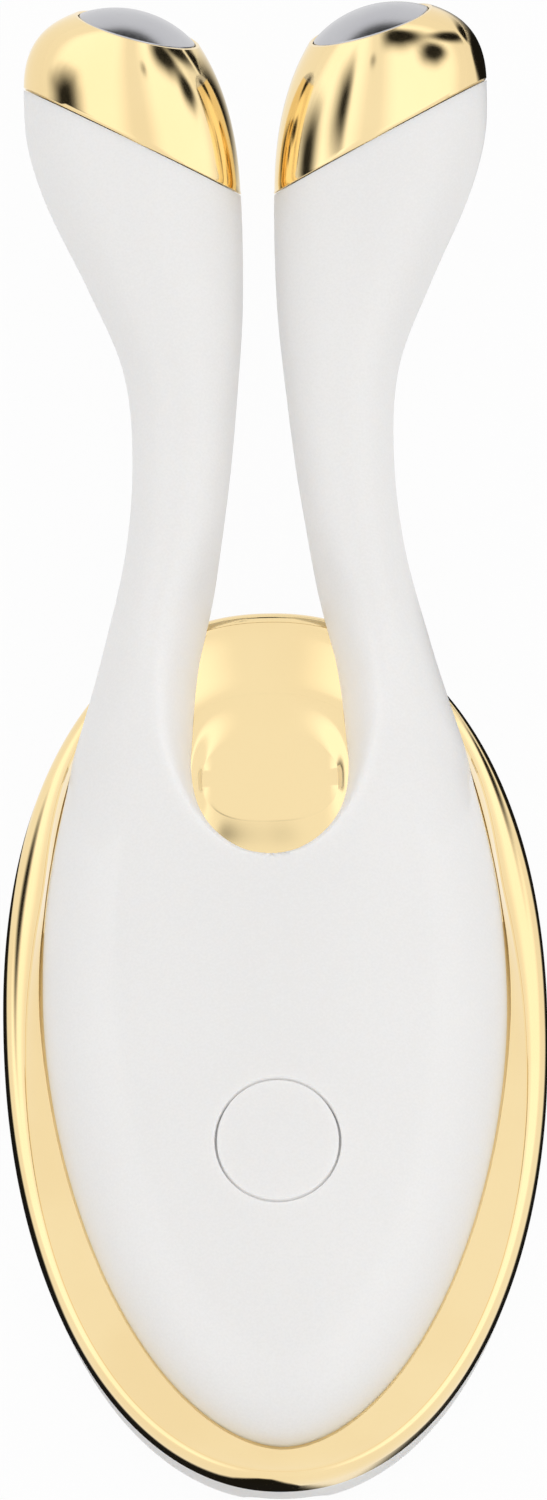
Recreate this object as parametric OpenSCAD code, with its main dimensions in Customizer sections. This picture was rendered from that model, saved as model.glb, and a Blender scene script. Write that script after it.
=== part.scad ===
// Handheld facial lifting device: a white two-armed body in a gold oval bezel, with gold head
// caps and steel electrodes. It lies on its back: +Z is the front, +Y points to the arm tips.

/* [Bezel] */
// Width of the gold oval
oval_w = 59.8; // [58:0.2:64]
// Reach of the gold oval towards the arm tips, from its widest line
oval_up = 47.6; // [46.5:0.1:49]
// Reach of the gold oval towards the tail
oval_down = 52.6; // [51.5:0.1:56]
// Height of the gold bezel's crest above the surface the device lies on
crest_z = 15; // [14.2:0.1:15.2]
// Width of the rounded band outside the crest's crease, at the oval's widest line
band_w = 2.4; // [2:0.1:2.8]
// Height of the tray floor inside the bezel
floor_z = 12.4; // [12:0.1:12.8]

/* [Rear shell] */
// Height of the seam between rear shell and bezel
seam_z = 10.5; // [10.2:0.1:10.9]
// Wall of the rear shell
rear_wall = 1.8; // [1.4:0.1:2.2]

/* [White body] */
// Distance from the white body's widest line to the gold edge
side_gap = 4.4; // [4.2:0.1:6]
// Widest line of the white body above the oval's
body_mid_y = 3.1; // [2:0.1:4]
// Distance from the white body's tail to the gold edge
tail_gap = 4.6; // [4.4:0.1:6]
// Height of the crown above the tray floor
crown_h = 13; // [12.4:0.1:15]
// Wall of the front shell and the arm backs
shell_wall = 1.6; // [1.3:0.1:1.9]
// Middle of the notch's round end
notch_y = 30.8; // [30:0.1:32]
// Half width of the notch
notch_half = 8.7; // [8:0.05:9.4]
// Depth of the notch's round end
notch_depth = 13.65; // [12:0.05:14.2]
// Rounding of the notch's edge
notch_round = 1.5; // [1:0.1:3]

/* [Arms] */
// Half thickness of an arm at its neck
neck_half = 5.5; // [5:0.1:6.2]
// Half thickness of an arm at its head cap
head_half = 8; // [7.4:0.1:8.6]
// Height of the arms' middle plane where they leave the body
arm_z = 21.5; // [21:0.1:23]
// How far the arms curve forwards by the time they reach the electrodes
arm_rise = 10; // [7:0.5:12]
// Gap at the parting line of two shells
seam_gap = 0.1; // [0.05:0.01:0.2]

/* [Heads] */
// Diameter of an electrode
electrode_d = 13.2; // [12.4:0.1:14]
// Height of an electrode's dome
electrode_h = 2; // [1.4:0.1:2.6]
// Lean of an electrode towards the front
electrode_lean = 29; // [22:1:32]
// Turn of an electrode towards the other one
electrode_turn = 18; // [12:1:20]
// Diameter of an electrode's stud
stud_d = 4; // [3:0.1:4.6]
// Wall of a head cap
cap_wall = 1.5; // [1.2:0.1:1.9]

/* [Button] */
// Diameter of the power button
button_d = 13.3; // [11:0.1:14]
// Middle of the power button along the body
button_y = -16.6; // [-18:0.2:-14]
// Groove round the button
button_gap = 0.3; // [0.2:0.05:0.5]
// Travel of the button
button_travel = 0.6; // [0.3:0.1:0.8]

/* [Inside] */
// Width of the battery
battery_w = 24; // [18:1:26]
// Length of the battery
battery_l = 34; // [28:1:36]
// Thickness of the battery
battery_h = 6.5; // [5:0.1:7]
// Diameter of the vibration motor
motor_d = 9.6; // [8:0.1:10]
// Length of the vibration motor's can
motor_l = 16; // [12:1:18]
// Diameter of the motor's shaft
shaft_d = 1.5; // [1:0.1:2]
// Running clearance round the shaft
shaft_gap = 0.05; // [0.02:0.01:0.1]
// Thickness of the main board
board_t = 1.6; // [1:0.1:1.8]
// Width of the main board
board_w = 25; // [24:1:26]
// Length of the main board
board_l = 46; // [42:1:48]
// Diameter of the housing screws
screw_d = 2; // [1.8:0.1:2.4]
// Outer diameter of the screw posts
post_d = 5; // [4.6:0.1:5.4]

/* [Hidden] */
$fn = 48;

white = [0.92, 0.915, 0.91];
gold = [0.93, 0.8, 0.5];
steel = [0.6, 0.6, 0.62];

// Shapes of the plan
oval_upper_power = 2.2;
oval_lower_power = 2.1;
body_power = 1.85;
notch_power = 2.15;
crown_power = 2.2;
body_half = oval_w / 2 - side_gap;
body_down = oval_down - tail_gap + body_mid_y;
notch_end = notch_y - notch_depth;
// Outer edge of an arm: distance along the device, then its share of the body's half width
arm_outer = [for (k = [
  [body_mid_y, 1], [15, 0.973], [28, 0.871], [41.5, 0.71], [52, 0.604], [63.5, 0.565],
  [73, 0.6], [82, 0.745], [91, 0.914], [97.5, 0.992], [104, 1.004]
]) [k[0], k[1] * body_half]];
// Inner edge of an arm, from the notch to the head, as a share of the notch's half width
arm_inner = [for (k = [
  [notch_y, 1], [39.5, 0.9], [49.5, 0.628], [59.5, 0.442], [69.5, 0.314], [79, 0.221],
  [89, 0.204], [97, 0.245]
]) [k[0], k[1] * notch_half]];
shoulder_y = 27;
// Where an arm ends at its head cap
cut_inner_y = 91.6;
cut_outer_y = 103.2;

// Length below which two points are one, the depth by which joined solids meet, and the run of a
// cut past a face
tiny = 0.001;
fuse = 0.2;
over = 1;

// General maths
function mix(a, b, t) = a + (b - a) * t;
function clamp(t) = min(1, max(0, t));
function smooth(t) = let (u = clamp(t)) u * u * (3 - 2 * u);
function unit(v) = v / norm(v);
function dome(u, power) = pow(max(0, 1 - pow(1 - clamp(u), power)), 1 / power);
function flip_x(points) = [for (p = points) [-p[0], p[1], p[2]]];

// Smooth curve through hand-chosen points, as a height over the first coordinate
function knot_slope(k, i) =
  let (a = max(0, i - 1), b = min(len(k) - 1, i + 1)) (k[b][1] - k[a][1]) / (k[b][0] - k[a][0]);
function knot_find(k, y, i = 0) = i >= len(k) - 2 || y < k[i + 1][0] ? i : knot_find(k, y, i + 1);
function through(k, y) =
  let (i = knot_find(k, y), w = k[i + 1][0] - k[i][0], t = (y - k[i][0]) / w,
       m0 = i == 0 && k[0][0] == body_mid_y ? 0 : knot_slope(k, i), m1 = knot_slope(k, i + 1))
  (2 * pow(t, 3) - 3 * t * t + 1) * k[i][1] + (pow(t, 3) - 2 * t * t + t) * w * m0
    + (3 * t * t - 2 * pow(t, 3)) * k[i + 1][1] + (pow(t, 3) - t * t) * w * m1;

// Heights along the device
arm_start = 50;
rise_span = 55;
function rise(y) = arm_rise * pow(max(0, y - arm_start) / rise_span, 2);
function lean(y) = atan(2 * arm_rise * max(0, y - arm_start) / pow(rise_span, 2));
// Clearance over the gold crest, and the lines where the edges of an arm pass over it
crest_gap = 0.7;
outer_cross_back = 21.6;
inner_cross_back = 10.6;
outer_cross_y = oval_up - outer_cross_back;
inner_cross_y = oval_up - inner_cross_back;
cross_l = 5;
outer_lift_l = 22;
inner_lift_l = 14;
swell_y = 60;
swell_l = 36;
crown_y = 10;
crown_l = 44;
belly_y = oval_up - 3.6;
blend_y = oval_up + 0.4;
step_h = crest_z - floor_z + crest_gap;
lift_h = arm_z - floor_z - step_h;
function outer_base(y) =
  floor_z + step_h * smooth((y - outer_cross_y) / cross_l)
    + lift_h * smooth((y - outer_cross_y - cross_l) / outer_lift_l) + rise(y);
function inner_base(y) =
  floor_z + step_h * smooth((y - inner_cross_y) / cross_l)
    + lift_h * smooth((y - inner_cross_y - cross_l) / inner_lift_l) + rise(y);
function swell(y) = (head_half - neck_half) * smooth((y - swell_y) / swell_l);
function tail_share(y) = dome(1 - clamp((body_mid_y - y) / body_down), 2.3);
function crown(y) =
  y < body_mid_y ? floor_z + crown_h * tail_share(y)
  : mix(floor_z + crown_h, arm_z + neck_half, smooth((y - crown_y) / crown_l)) + rise(y) + swell(y);
function belly(y) =
  mix(crest_z + crest_gap, arm_z - neck_half, smooth((y - belly_y) / inner_lift_l))
    + rise(y) - swell(y);

// Half width of the white body's outline at one line, and the crown's height over any point of it
function half_at(y) =
  y >= body_mid_y ? through(arm_outer, y)
  : body_half * dome(1 - (body_mid_y - y) / body_down, body_power);
function body_top(x, y) =
  floor_z + (crown(y) - floor_z) * dome(1 - abs(x) / max(tiny, half_at(y)), crown_power);

// Plan edges of the white body, moved in by a wall
function body_edge(angle, inset) =
  [(body_half - inset) * pow(cos(angle), 2 / body_power),
   body_mid_y - (body_down - inset) * pow(sin(angle), 2 / body_power)];
function notch_edge(angle, inset) =
  [(notch_half + inset) * pow(cos(angle), 2 / notch_power),
   notch_y - (notch_depth + inset) * pow(sin(angle), 2 / notch_power)];
cut_slope =
  (cut_outer_y - cut_inner_y) / (through(arm_outer, cut_outer_y) - through(arm_inner, cut_inner_y));
function inner_point(y, inset) = [through(arm_inner, y) + inset, y];
function outer_point(y, inset) = [through(arm_outer, y) - inset, y];

// Rungs of half the body: along the arm, round the notch, and down to the tail
arm_rungs = 18;
notch_rungs = 8;
tail_rungs = 18;
rung_steps = 10;
rungs = arm_rungs + notch_rungs + tail_rungs;
// Share of the way to the tail, with rungs close together where the notch's edge is rounded
function tail_share_of(i) =
  let (s = (i - arm_rungs - notch_rungs) / tail_rungs) s - 0.92 * s * pow(1 - s, 3);
function rung_inner(i, inset) =
  i <= arm_rungs
    ? let (t = i / arm_rungs)
      inner_point(mix(cut_inner_y + inset * cut_slope, notch_y, t), inset)
    : i <= arm_rungs + notch_rungs
      ? notch_edge(90 * (i - arm_rungs) / notch_rungs, inset)
      : [0, mix(notch_end - inset, body_mid_y - body_down + inset, sin(90 * tail_share_of(i)))];
function rung_outer(i, inset) =
  i <= arm_rungs
    ? let (t = i / arm_rungs)
      outer_point(mix(cut_outer_y - inset * cut_slope, shoulder_y, t), inset)
    : i <= arm_rungs + notch_rungs
      ? let (t = (i - arm_rungs) / notch_rungs, y = mix(shoulder_y, body_mid_y, t))
        outer_point(y, inset)
      : body_edge(90 * tail_share_of(i), inset);

// Distance from a point to the notch's round end and the start of the arm above it
notch_reach = 18;
notch_least = 0.4;
notch_line = concat(
  [for (t = [1, 0.5]) inner_point(notch_y + t * notch_reach, 0)],
  [for (a = [0 : 7.5 : 90]) notch_edge(a, 0)]);
function to_segment(p, a, b) = norm(p - mix(a, b, clamp((p - a) * (b - a) / ((b - a) * (b - a)))));
function to_notch(p) =
  min([for (i = [0 : len(notch_line) - 2]) to_segment(p, notch_line[i], notch_line[i + 1])]);

// One point of a skin, from a rung's ends: side is 1 for the front and -1 for the back
function skin_point(a, b, u, inset, side) =
  let (blend = smooth((blend_y - a[1]) / (blend_y - notch_end)), share = mix(0.5, 1, blend),
       t = mix((1 - cos(180 * u)) / 2, sin(90 * u), smooth((notch_end - a[1]) / notch_depth)),
       w = norm(b - a), p = mix(a, b, t), y = p[1], mid_y = (a[1] + b[1]) / 2,
       notch_r = mix(w / 2, max(notch_least, notch_round - inset), blend),
       away = mix(t * w, max(0, to_notch(p) - inset), smooth(2 * blend)),
       across = mix(t, p[0] / max(tiny, half_at(y) - inset), blend),
       lift = dome((1 - across) / share, mix(2, crown_power, blend)) * dome(away / notch_r, 2),
       base = mix(inner_base(a[1]), outer_base(b[1]), t),
       reach = side > 0 ? crown(y) - inset - base : belly(y) + inset - base,
       h = lift * (side > 0 ? max(0, reach) : min(0, reach)), tip = lean(mid_y))
  [p[0], p[1] - h * sin(tip), base + h * cos(tip)];

// Triangles of a grid of (n + 1) by (m + 1) points that starts at index o
function cell(a, b, c, d, flip) = flip ? [[a, c, b], [b, c, d]] : [[a, b, c], [b, d, c]];
function grid_faces(n, m, o, flip) =
  [for (i = [0 : n - 1], j = [0 : m - 1])
    let (a = o + i * (m + 1) + j) each cell(a, a + 1, a + m + 1, a + m + 2, flip)];
function strip_faces(a, b, flip) =
  [for (i = [0 : len(a) - 2]) each cell(a[i], a[i + 1], b[i], b[i + 1], flip)];
function real_faces(points, faces) =
  [for (f = faces)
    if (norm(points[f[0]] - points[f[1]]) > tiny && norm(points[f[1]] - points[f[2]]) > tiny
        && norm(points[f[2]] - points[f[0]]) > tiny) f];

// Front skin of half the body, outer and inner, joined at its rims
half_outer = [for (i = [0 : rungs], j = [0 : rung_steps])
  skin_point(rung_inner(i, 0), rung_outer(i, 0), j / rung_steps, 0, 1)];
half_inner = [for (i = [0 : rungs], j = [0 : rung_steps])
  skin_point(rung_inner(i, shell_wall), rung_outer(i, shell_wall), j / rung_steps, shell_wall, 1)];
half_size = (rungs + 1) * (rung_steps + 1);
function half_faces(o, flip) =
  let (m = rung_steps + 1, in_o = o + half_size)
  concat(
    grid_faces(rungs, rung_steps, o, flip),
    grid_faces(rungs, rung_steps, in_o, !flip),
    strip_faces([for (i = [0 : rungs]) o + i * m + rung_steps],
                [for (i = [0 : rungs]) in_o + i * m + rung_steps], !flip),
    strip_faces([for (i = [0 : arm_rungs + notch_rungs]) o + i * m],
                [for (i = [0 : arm_rungs + notch_rungs]) in_o + i * m], flip),
    strip_faces([for (j = [0 : rung_steps]) o + j], [for (j = [0 : rung_steps]) in_o + j], !flip)
  );

module front_skin() {
  points = concat(half_outer, half_inner, flip_x(half_outer), flip_x(half_inner));
  faces = concat(half_faces(0, false), half_faces(2 * half_size, true));
  polyhedron(points, real_faces(points, faces));
}

// Closed solid through a stack of rings of equal size, with flat ends
function stack_faces(n, m) =
  concat(
    [for (i = [0 : n - 2], j = [0 : m - 1])
      let (a = i * m + j, b = i * m + (j + 1) % m) each [[a, a + m, b], [b, a + m, b + m]]],
    [for (j = [1 : m - 2]) [0, j, j + 1]],
    [for (j = [1 : m - 2]) [(n - 1) * m, (n - 1) * m + j + 1, (n - 1) * m + j]]
  );
module stack(rings) {
  polyhedron([for (r = rings) each r], stack_faces(len(rings), len(rings[0])));
}

// Ring round the oval, moved in by a distance, at one height
oval_steps = 72;
function oval_point(a) =
  let (c = cos(a), s = sin(a), p = s >= 0 ? oval_upper_power : oval_lower_power,
       b = s >= 0 ? oval_up : oval_down)
  [sign(c) * oval_w / 2 * pow(abs(c), 2 / p), sign(s) * b * pow(abs(s), 2 / p)];
function oval_normal(a) =
  let (d = oval_point(a + 1) - oval_point(a - 1)) unit([d[1], -d[0]]);
function oval_angle(i) = 360 * i / oval_steps;
function oval_in(a, d) = oval_point(a) - d * oval_normal(a);
function oval_ring(d, z) =
  [for (i = [0 : oval_steps - 1]) let (p = oval_in(oval_angle(i), d)) [p[0], p[1], z]];

// Frame of the right head: cut plane, electrode seat and the edges between them
function edge_point(p, z) = [p[0], p[1], z];
cut_in = edge_point(inner_point(cut_inner_y, 0), inner_base(cut_inner_y));
cut_out = edge_point(outer_point(cut_outer_y, 0), outer_base(cut_outer_y));
cut_tip = lean((cut_inner_y + cut_outer_y) / 2);
cut_up = [0, -sin(cut_tip), cos(cut_tip)];
cut_normal = unit(cross(cut_up, cut_out - cut_in));
cut_along = [0, cos(cut_tip), sin(cut_tip)];
head_l = 11.4;
head_lift = 12.8;
seat = [mix(cut_in[0], cut_out[0], 0.465), (cut_in[1] + cut_out[1]) / 2 + head_l, arm_z + head_lift];
seat_normal = [-sin(electrode_turn) * cos(electrode_lean), cos(electrode_turn) * cos(electrode_lean),
               sin(electrode_lean)];
seat_side = unit([1, 0, 0] - seat_normal * seat_normal[0]);
seat_up = cross(seat_side, seat_normal);
lip = 0.45;
seat_r = electrode_d / 2 + lip;
seat_fit = 0.08;
gasket_t = 0.5;
flange_t = 1;
stud_gap = 0.15;
recess = gasket_t + flange_t;
cap_end = recess + cap_wall;
function bez(a, b, c, t) = mix(mix(a, b, t), mix(b, c, t), t);
inner_pull = [0.2, 9.9, 3.4];
outer_pull = [0, 6.4, 2.2];
function head_in(t) = bez(cut_in, cut_in + inner_pull, seat - seat_r * seat_side, t);
function head_out(t) = bez(cut_out, cut_out + outer_pull, seat + seat_r * seat_side, t);
function head_up(t) =
  bez(head_half * cut_up, head_half * 1.1 * unit(cut_up + seat_up), seat_r * seat_up, t);
head_steps = 28;
head_rings = 9;
function head_ring(t, inset, shift = [0, 0, 0]) =
  let (a = head_in(t), b = head_out(t), c = (a + b) / 2, u = (b - a) / 2, w = head_up(t),
       ku = 1 - inset / norm(u), kw = 1 - inset / norm(w))
  [for (i = [0 : head_steps - 1]) let (q = 360 * i / head_steps)
    c + shift + ku * cos(q) * u + kw * sin(q) * w];
function seat_ring(r, depth) =
  [for (i = [0 : head_steps - 1]) let (q = 360 * i / head_steps)
    seat - depth * seat_normal + r * (cos(q) * seat_side + sin(q) * seat_up)];
spigot_l = 3.5;
spigot_in = shell_wall + 0.6;
spigot_t = 1;
cap_joint = seam_gap * cut_normal;
spigot_end = -spigot_l * cut_along;

module at_seat() {
  multmatrix([[seat_side[0], seat_up[0], seat_normal[0], seat[0]],
              [seat_side[1], seat_up[1], seat_normal[1], seat[1]],
              [seat_side[2], seat_up[2], seat_normal[2], seat[2]]]) children();
}
module side(left) {
  if (left) mirror([1, 0, 0]) children();
  else children();
}

// Screw posts, shared by the two shells
posts = [[18.5, 10], [-18.5, 10], [16, -22], [-16, -22]];
head_d = screw_d * 1.9;
head_gap = 0.2;
bore_gap = 0.15;
head_h = 1.4;
head_seat = 3.2;
plug_t = 1.5;
screw_grip = 5;

// Button and switch
switch_w = 6.2;
switch_h = 3.4;
plunger_d = 3.4;
board_z = 13.4;
board_top = board_z + board_t;
board_mid_y = -8;
board_r = 3;
plunger_out = 0.8;
plunger_gap = 0.3;
plunger_top = board_top + switch_h + plunger_out;
plunger_l = 2;
flange_z = 21.2;
flange_h = 0.8;
flange_out = 1.15;
flange_d = button_d + 2 * flange_out;
button_rings = 4;
button_steps = 32;
function button_ring(r, z = undef) =
  [for (i = [0 : button_steps - 1])
    let (q = 360 * i / button_steps, x = r * cos(q), y = button_y + r * sin(q))
    [x, y, is_undef(z) ? body_top(x, y) : z]];

module front_shell() color(white) difference() {
  union() {
    front_skin();
    for (p = posts) translate([p[0], p[1], floor_z]) {
      cylinder(d = post_d, h = body_top(abs(p[0]) + post_d / 2, p[1]) - floor_z - shell_wall / 2);
    }
  }
  translate([0, button_y, flange_z]) cylinder(d = button_d + 2 * button_gap, h = crown_h);
  for (p = posts) translate([p[0], p[1], floor_z - over]) cylinder(d = screw_d, h = screw_grip + over);
}

back_rungs = 16;
back_steps = 8;
back_inner_y = oval_up - 2.6;
back_outer_y = oval_up - 9;
function back_grid(inset) =
  [for (i = [0 : back_rungs], j = [0 : back_steps])
    let (t = i / back_rungs,
         a = inner_point(mix(cut_inner_y + inset * cut_slope, back_inner_y + inset / 2, t), inset),
         b = outer_point(mix(cut_outer_y - inset * cut_slope, back_outer_y + inset / 2, t), inset))
    skin_point(a, b, j / back_steps, inset, -1)];
module arm_back(left) color(white) side(left) {
  outer = back_grid(0);
  inner = back_grid(shell_wall);
  m = back_steps + 1;
  o = (back_rungs + 1) * m;
  faces = concat(
    grid_faces(back_rungs, back_steps, 0, true),
    grid_faces(back_rungs, back_steps, o, false),
    strip_faces([for (i = [0 : back_rungs]) i * m + back_steps],
                [for (i = [0 : back_rungs]) o + i * m + back_steps], false),
    strip_faces([for (i = [0 : back_rungs]) i * m], [for (i = [0 : back_rungs]) o + i * m], true),
    strip_faces([for (j = [0 : back_steps]) j], [for (j = [0 : back_steps]) o + j], false),
    strip_faces([for (j = [0 : back_steps]) back_rungs * m + j],
                [for (j = [0 : back_steps]) o + back_rungs * m + j], true)
  );
  points = concat(outer, inner);
  translate([0, 0, -seam_gap]) polyhedron(points, real_faces(points, faces));
}

// Ring of the bezel: rounded band, crease, inner slope and the flange under the white body
flange_lap = 2.6;
flange_in = side_gap + flange_lap;
flange_low = floor_z - 1.2;
lip_w = 2;
slope_gap = 0.1;
slope_least = 0.25;
slope_power = 1.7;
crease = 0.3;
floor_back = 2.4;
floor_step = 0.05;
// Width of the band along the device, as a share of its width at the widest line
band_line = [
  [-oval_down, 0.42], [-34, 0.52], [-19, 0.71], [0, 1], [10, 1.25], [17, 1.33], [30, 0.8], [38, 0.68],
  [oval_up, 0.66]
];
// Line above which the white body clears the crest, and the softer slope above it
free_y = outer_cross_y + 0.8 * cross_l;
top_end = 9;
top_l = 10;
soft_y = 36;
soft_l = 8;
// Distance in from the gold edge to the white body's outline, found by halving
function body_gap(a, low = 0, high = flange_in, n = 12) =
  let (d = (low + high) / 2, p = oval_in(a, d))
  n == 0 ? d : abs(p[0]) < half_at(p[1]) ? body_gap(a, low, d, n - 1) : body_gap(a, d, high, n - 1);
function bezel_profile(a) =
  let (y = oval_point(a)[1], gap = body_gap(a) - slope_gap, soft = smooth((y - soft_y) / soft_l),
       c = crease * mix(1, 0.2, soft), full = band_w * through(band_line, y),
       b = y > free_y ? full : min(full, gap - c - slope_least), low = crest_z - 1.3 * c,
       end = max(gap, b + c + slope_least, top_end * smooth((y - free_y) / top_l)),
       inner = max(flange_in, end + slope_least))
  concat(
    [[inner, flange_low], [lip_w, flange_low], [lip_w, seam_z], [0, seam_z]],
    [for (q = [[0, 2.4], [0.05, 1.6], [0.16, 0.9], [0.36, 0.35], [0.64, 0.05], [1, 0]])
      [q[0] * b, crest_z - q[1]]],
    [[b + c / 2, crest_z - c], [b + c, low]],
    [for (s = [0.25, 0.5, 0.75, 1])
      [mix(b + c, end, s), mix(floor_z, low, mix(pow(1 - s, slope_power), 1 - smooth(s), soft))]],
    [[inner, floor_z]]
  );
// Sweep of one profile for each step round the oval; profiles run from the inside to the outside
module oval_sweep(profiles) {
  n = len(profiles[0]);
  points = [for (i = [0 : oval_steps - 1], q = profiles[i])
    let (p = oval_in(oval_angle(i), q[0])) [p[0], p[1], q[1]]];
  faces = [for (i = [0 : oval_steps - 1], j = [0 : n - 1])
    let (a = i * n + j, b = i * n + (j + 1) % n, c = ((i + 1) % oval_steps) * n + j,
         d = ((i + 1) % oval_steps) * n + (j + 1) % n) each [[a, b, c], [b, d, c]]];
  polyhedron(points, faces);
}
// Shallow dish of the tray in the notch: half width, low end and high end of its floor and its rim
dish_depth = 0.6;
dish_side = 1.2;
dish_lap = 0.2;
dish_end = 7;
dish_top = 9.2;
dish_slope = 5;
dish_power = 2.6;
dish_steps = 48;
dish_rings = 6;
function dish_ring(t) =
  let (half = notch_half + mix(-dish_side, dish_lap, t),
       low = notch_end + mix(dish_end, -dish_lap, t),
       high = oval_up - dish_top - mix(dish_slope, 0, t))
  [for (i = [0 : dish_steps - 1])
    let (a = 360 * i / dish_steps, c = cos(a), q = sin(a))
    [sign(c) * half * pow(abs(c), 2 / dish_power),
     (low + high) / 2 + sign(q) * (high - low) / 2 * pow(abs(q), 2 / dish_power),
     floor_z - dish_depth * mix(pow(1 - t, 1.5), 1 - smooth(t), smooth(q))]];
module dish() stack(concat(
  [for (k = [0 : dish_rings]) dish_ring(k / dish_rings)],
  [[for (p = dish_ring(1)) p + [0, 0, over]]]
));
module bezel_tray() color(gold) difference() {
  union() {
    oval_sweep([for (i = [0 : oval_steps - 1]) bezel_profile(oval_angle(i))]);
    translate([0, 0, flange_low + floor_step]) linear_extrude(floor_z - flange_low - 2 * floor_step)
      intersection() {
        polygon([for (i = [0 : oval_steps - 1]) oval_in(oval_angle(i), flange_in - fuse)]);
        translate([-oval_w / 2, notch_end - floor_back]) square([oval_w, oval_up]);
      }
  }
  dish();
}

// Bowl of the rear shell
usb_w = 8.94;
usb_h = 3.26;
usb_l = 7.3;
usb_gap = 0.25;
usb_wall = 0.3;
usb_inset = 1.8;
charge_t = 1;
usb_z = rear_wall + charge_t + usb_h / 2;
usb_mouth_y = -oval_down + usb_inset;
gasket_step = 0.3;
gasket_w = 1.5;
land_w = 4.2;
land_h = 1.5;
rear_outer = [[7, -0.4], [4.6, 0.35], [2.6, 1.3], [1.3, 3], [0.6, 5], [0.35, 8], [0.3, seam_z]];
rear_inner = [
  [lip_w, seam_z], [lip_w, seam_z - gasket_step], [land_w, seam_z - gasket_step],
  [land_w, seam_z - land_h], [0.5 + rear_wall, seam_z - 2 * land_h], [0.8 + rear_wall, 5],
  [1.6 + rear_wall, rear_wall + 1.6], [2.8 + rear_wall, rear_wall + 0.5], [5 + rear_wall, rear_wall]
];
standoffs = [[10.5, -0.5], [-10.5, -0.5], [10.5, -27], [-10.5, -27]];
standoff_d = 4.4;
board_screw_d = 1.6;
board_screw_l = 6;
board_head_h = 0.9;
module slot(w, h, l) {
  rotate([90, 0, 0]) linear_extrude(l, center = true) hull()
    for (x = [-1, 1]) translate([x * (w - h) / 2, 0]) circle(d = h);
}
module rear_shell() color(white) difference() {
  union() {
    stack([for (q = concat(rear_outer, rear_inner)) oval_ring(q[0], q[1])]);
    for (p = posts) translate([p[0], p[1], rear_wall / 2])
      cylinder(d = post_d, h = floor_z - rear_wall / 2);
    for (p = standoffs) translate([p[0], p[1], rear_wall / 2])
      cylinder(d = standoff_d, h = board_z - rear_wall / 2);
  }
  translate([-oval_w / 2, -oval_down, -over]) cube([oval_w, oval_down + oval_up, over]);
  for (p = posts) translate([p[0], p[1], -over]) {
    cylinder(d = head_d + 2 * head_gap, h = head_seat + over);
    cylinder(d = screw_d + 2 * bore_gap, h = floor_z + 2 * over);
  }
  for (p = standoffs) translate([p[0], p[1], board_top - board_screw_l - bore_gap])
    cylinder(d = board_screw_d, h = board_screw_l);
  translate([0, -oval_down, usb_z]) slot(usb_w + 2 * usb_gap, usb_h + 2 * usb_gap, 2 * usb_l);
}

gasket_in = lip_w + gasket_step;
module seam_gasket() color("dimgray") oval_sweep([for (i = [0 : oval_steps - 1]) [
  [gasket_in + gasket_w, seam_z - gasket_step], [gasket_in, seam_z - gasket_step],
  [gasket_in, flange_low], [gasket_in + gasket_w, flange_low]
]]);

module head_cap(left) color(gold) side(left) difference() {
  stack(concat(
    [seat_ring(electrode_d / 2 + seat_fit, recess), seat_ring(electrode_d / 2 + seat_fit, 0)],
    [for (i = [head_rings : -1 : 1]) head_ring(i / head_rings, 0)],
    [head_ring(0, 0, cap_joint), head_ring(0, spigot_in, cap_joint),
     head_ring(0, spigot_in, spigot_end), head_ring(0, spigot_in + spigot_t, spigot_end),
     head_ring(0, spigot_in + spigot_t, cap_joint)],
    [for (t = [0.15, 0.35, 0.55]) head_ring(t, mix(spigot_in, cap_wall, t))],
    [seat_ring(electrode_d / 2 - cap_wall, cap_end)]
  ));
  at_seat() translate([0, 0, -cap_end - over]) cylinder(d = stud_d + 2 * stud_gap, h = cap_end + over);
}

dome_r = (pow(electrode_d / 2, 2) + pow(electrode_h, 2)) / (2 * electrode_h);
dome_angle = asin(electrode_d / 2 / dome_r);
dome_steps = 6;
stud_l = 6.5;
nut_h = 2.2;
nut_d = 2 * stud_d;
gasket_margin = 0.5;
module electrode(left) color(steel) side(left) at_seat() union() {
  rotate_extrude() polygon(concat(
    [[0, -flange_t], [electrode_d / 2, -flange_t]],
    [for (i = [0 : dome_steps]) let (a = dome_angle * (1 - i / dome_steps))
      [dome_r * sin(a), electrode_h - dome_r + dome_r * cos(a)]]
  ));
  translate([0, 0, -flange_t - stud_l]) cylinder(d = stud_d, h = stud_l + fuse);
}
module electrode_gasket(left) color("dimgray") side(left) at_seat()
  translate([0, 0, -recess]) difference() {
    cylinder(d = electrode_d - 2 * gasket_margin, h = gasket_t);
    translate([0, 0, -over]) cylinder(d = stud_d + 2 * gasket_margin, h = gasket_t + 2 * over);
  }
module electrode_nut(left) color("gainsboro") side(left) at_seat()
  translate([0, 0, -cap_end - nut_h]) difference() {
    cylinder(d = nut_d, h = nut_h, $fn = 6);
    translate([0, 0, -over]) cylinder(d = stud_d, h = nut_h + 2 * over);
  }

// Power button: a cap that follows the crown, a flange under the shell and a stem to the switch
module button_cap() color(white) union() {
  stack(concat(
    [button_ring(button_d / 2, flange_z + flange_h / 2)],
    [for (k = [button_rings : -1 : 1]) button_ring(button_d / 2 * k / button_rings)]
  ));
  translate([0, button_y, flange_z]) cylinder(d = flange_d, h = flange_h);
  translate([0, button_y, plunger_top]) cylinder(d = plunger_d, h = flange_z - plunger_top + fuse);
}
module switch_plunger() color("dimgray")
  translate([0, button_y, plunger_top - plunger_l]) cylinder(d = plunger_d, h = plunger_l);
module switch_body() color("silver") translate([0, button_y, board_top]) difference() {
  translate([-switch_w / 2, -switch_w / 2, 0]) cube([switch_w, switch_w, switch_h]);
  translate([0, 0, plunger_top - plunger_l - board_top - button_travel - seam_gap])
    cylinder(d = plunger_d + 2 * plunger_gap, h = switch_h);
}

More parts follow.
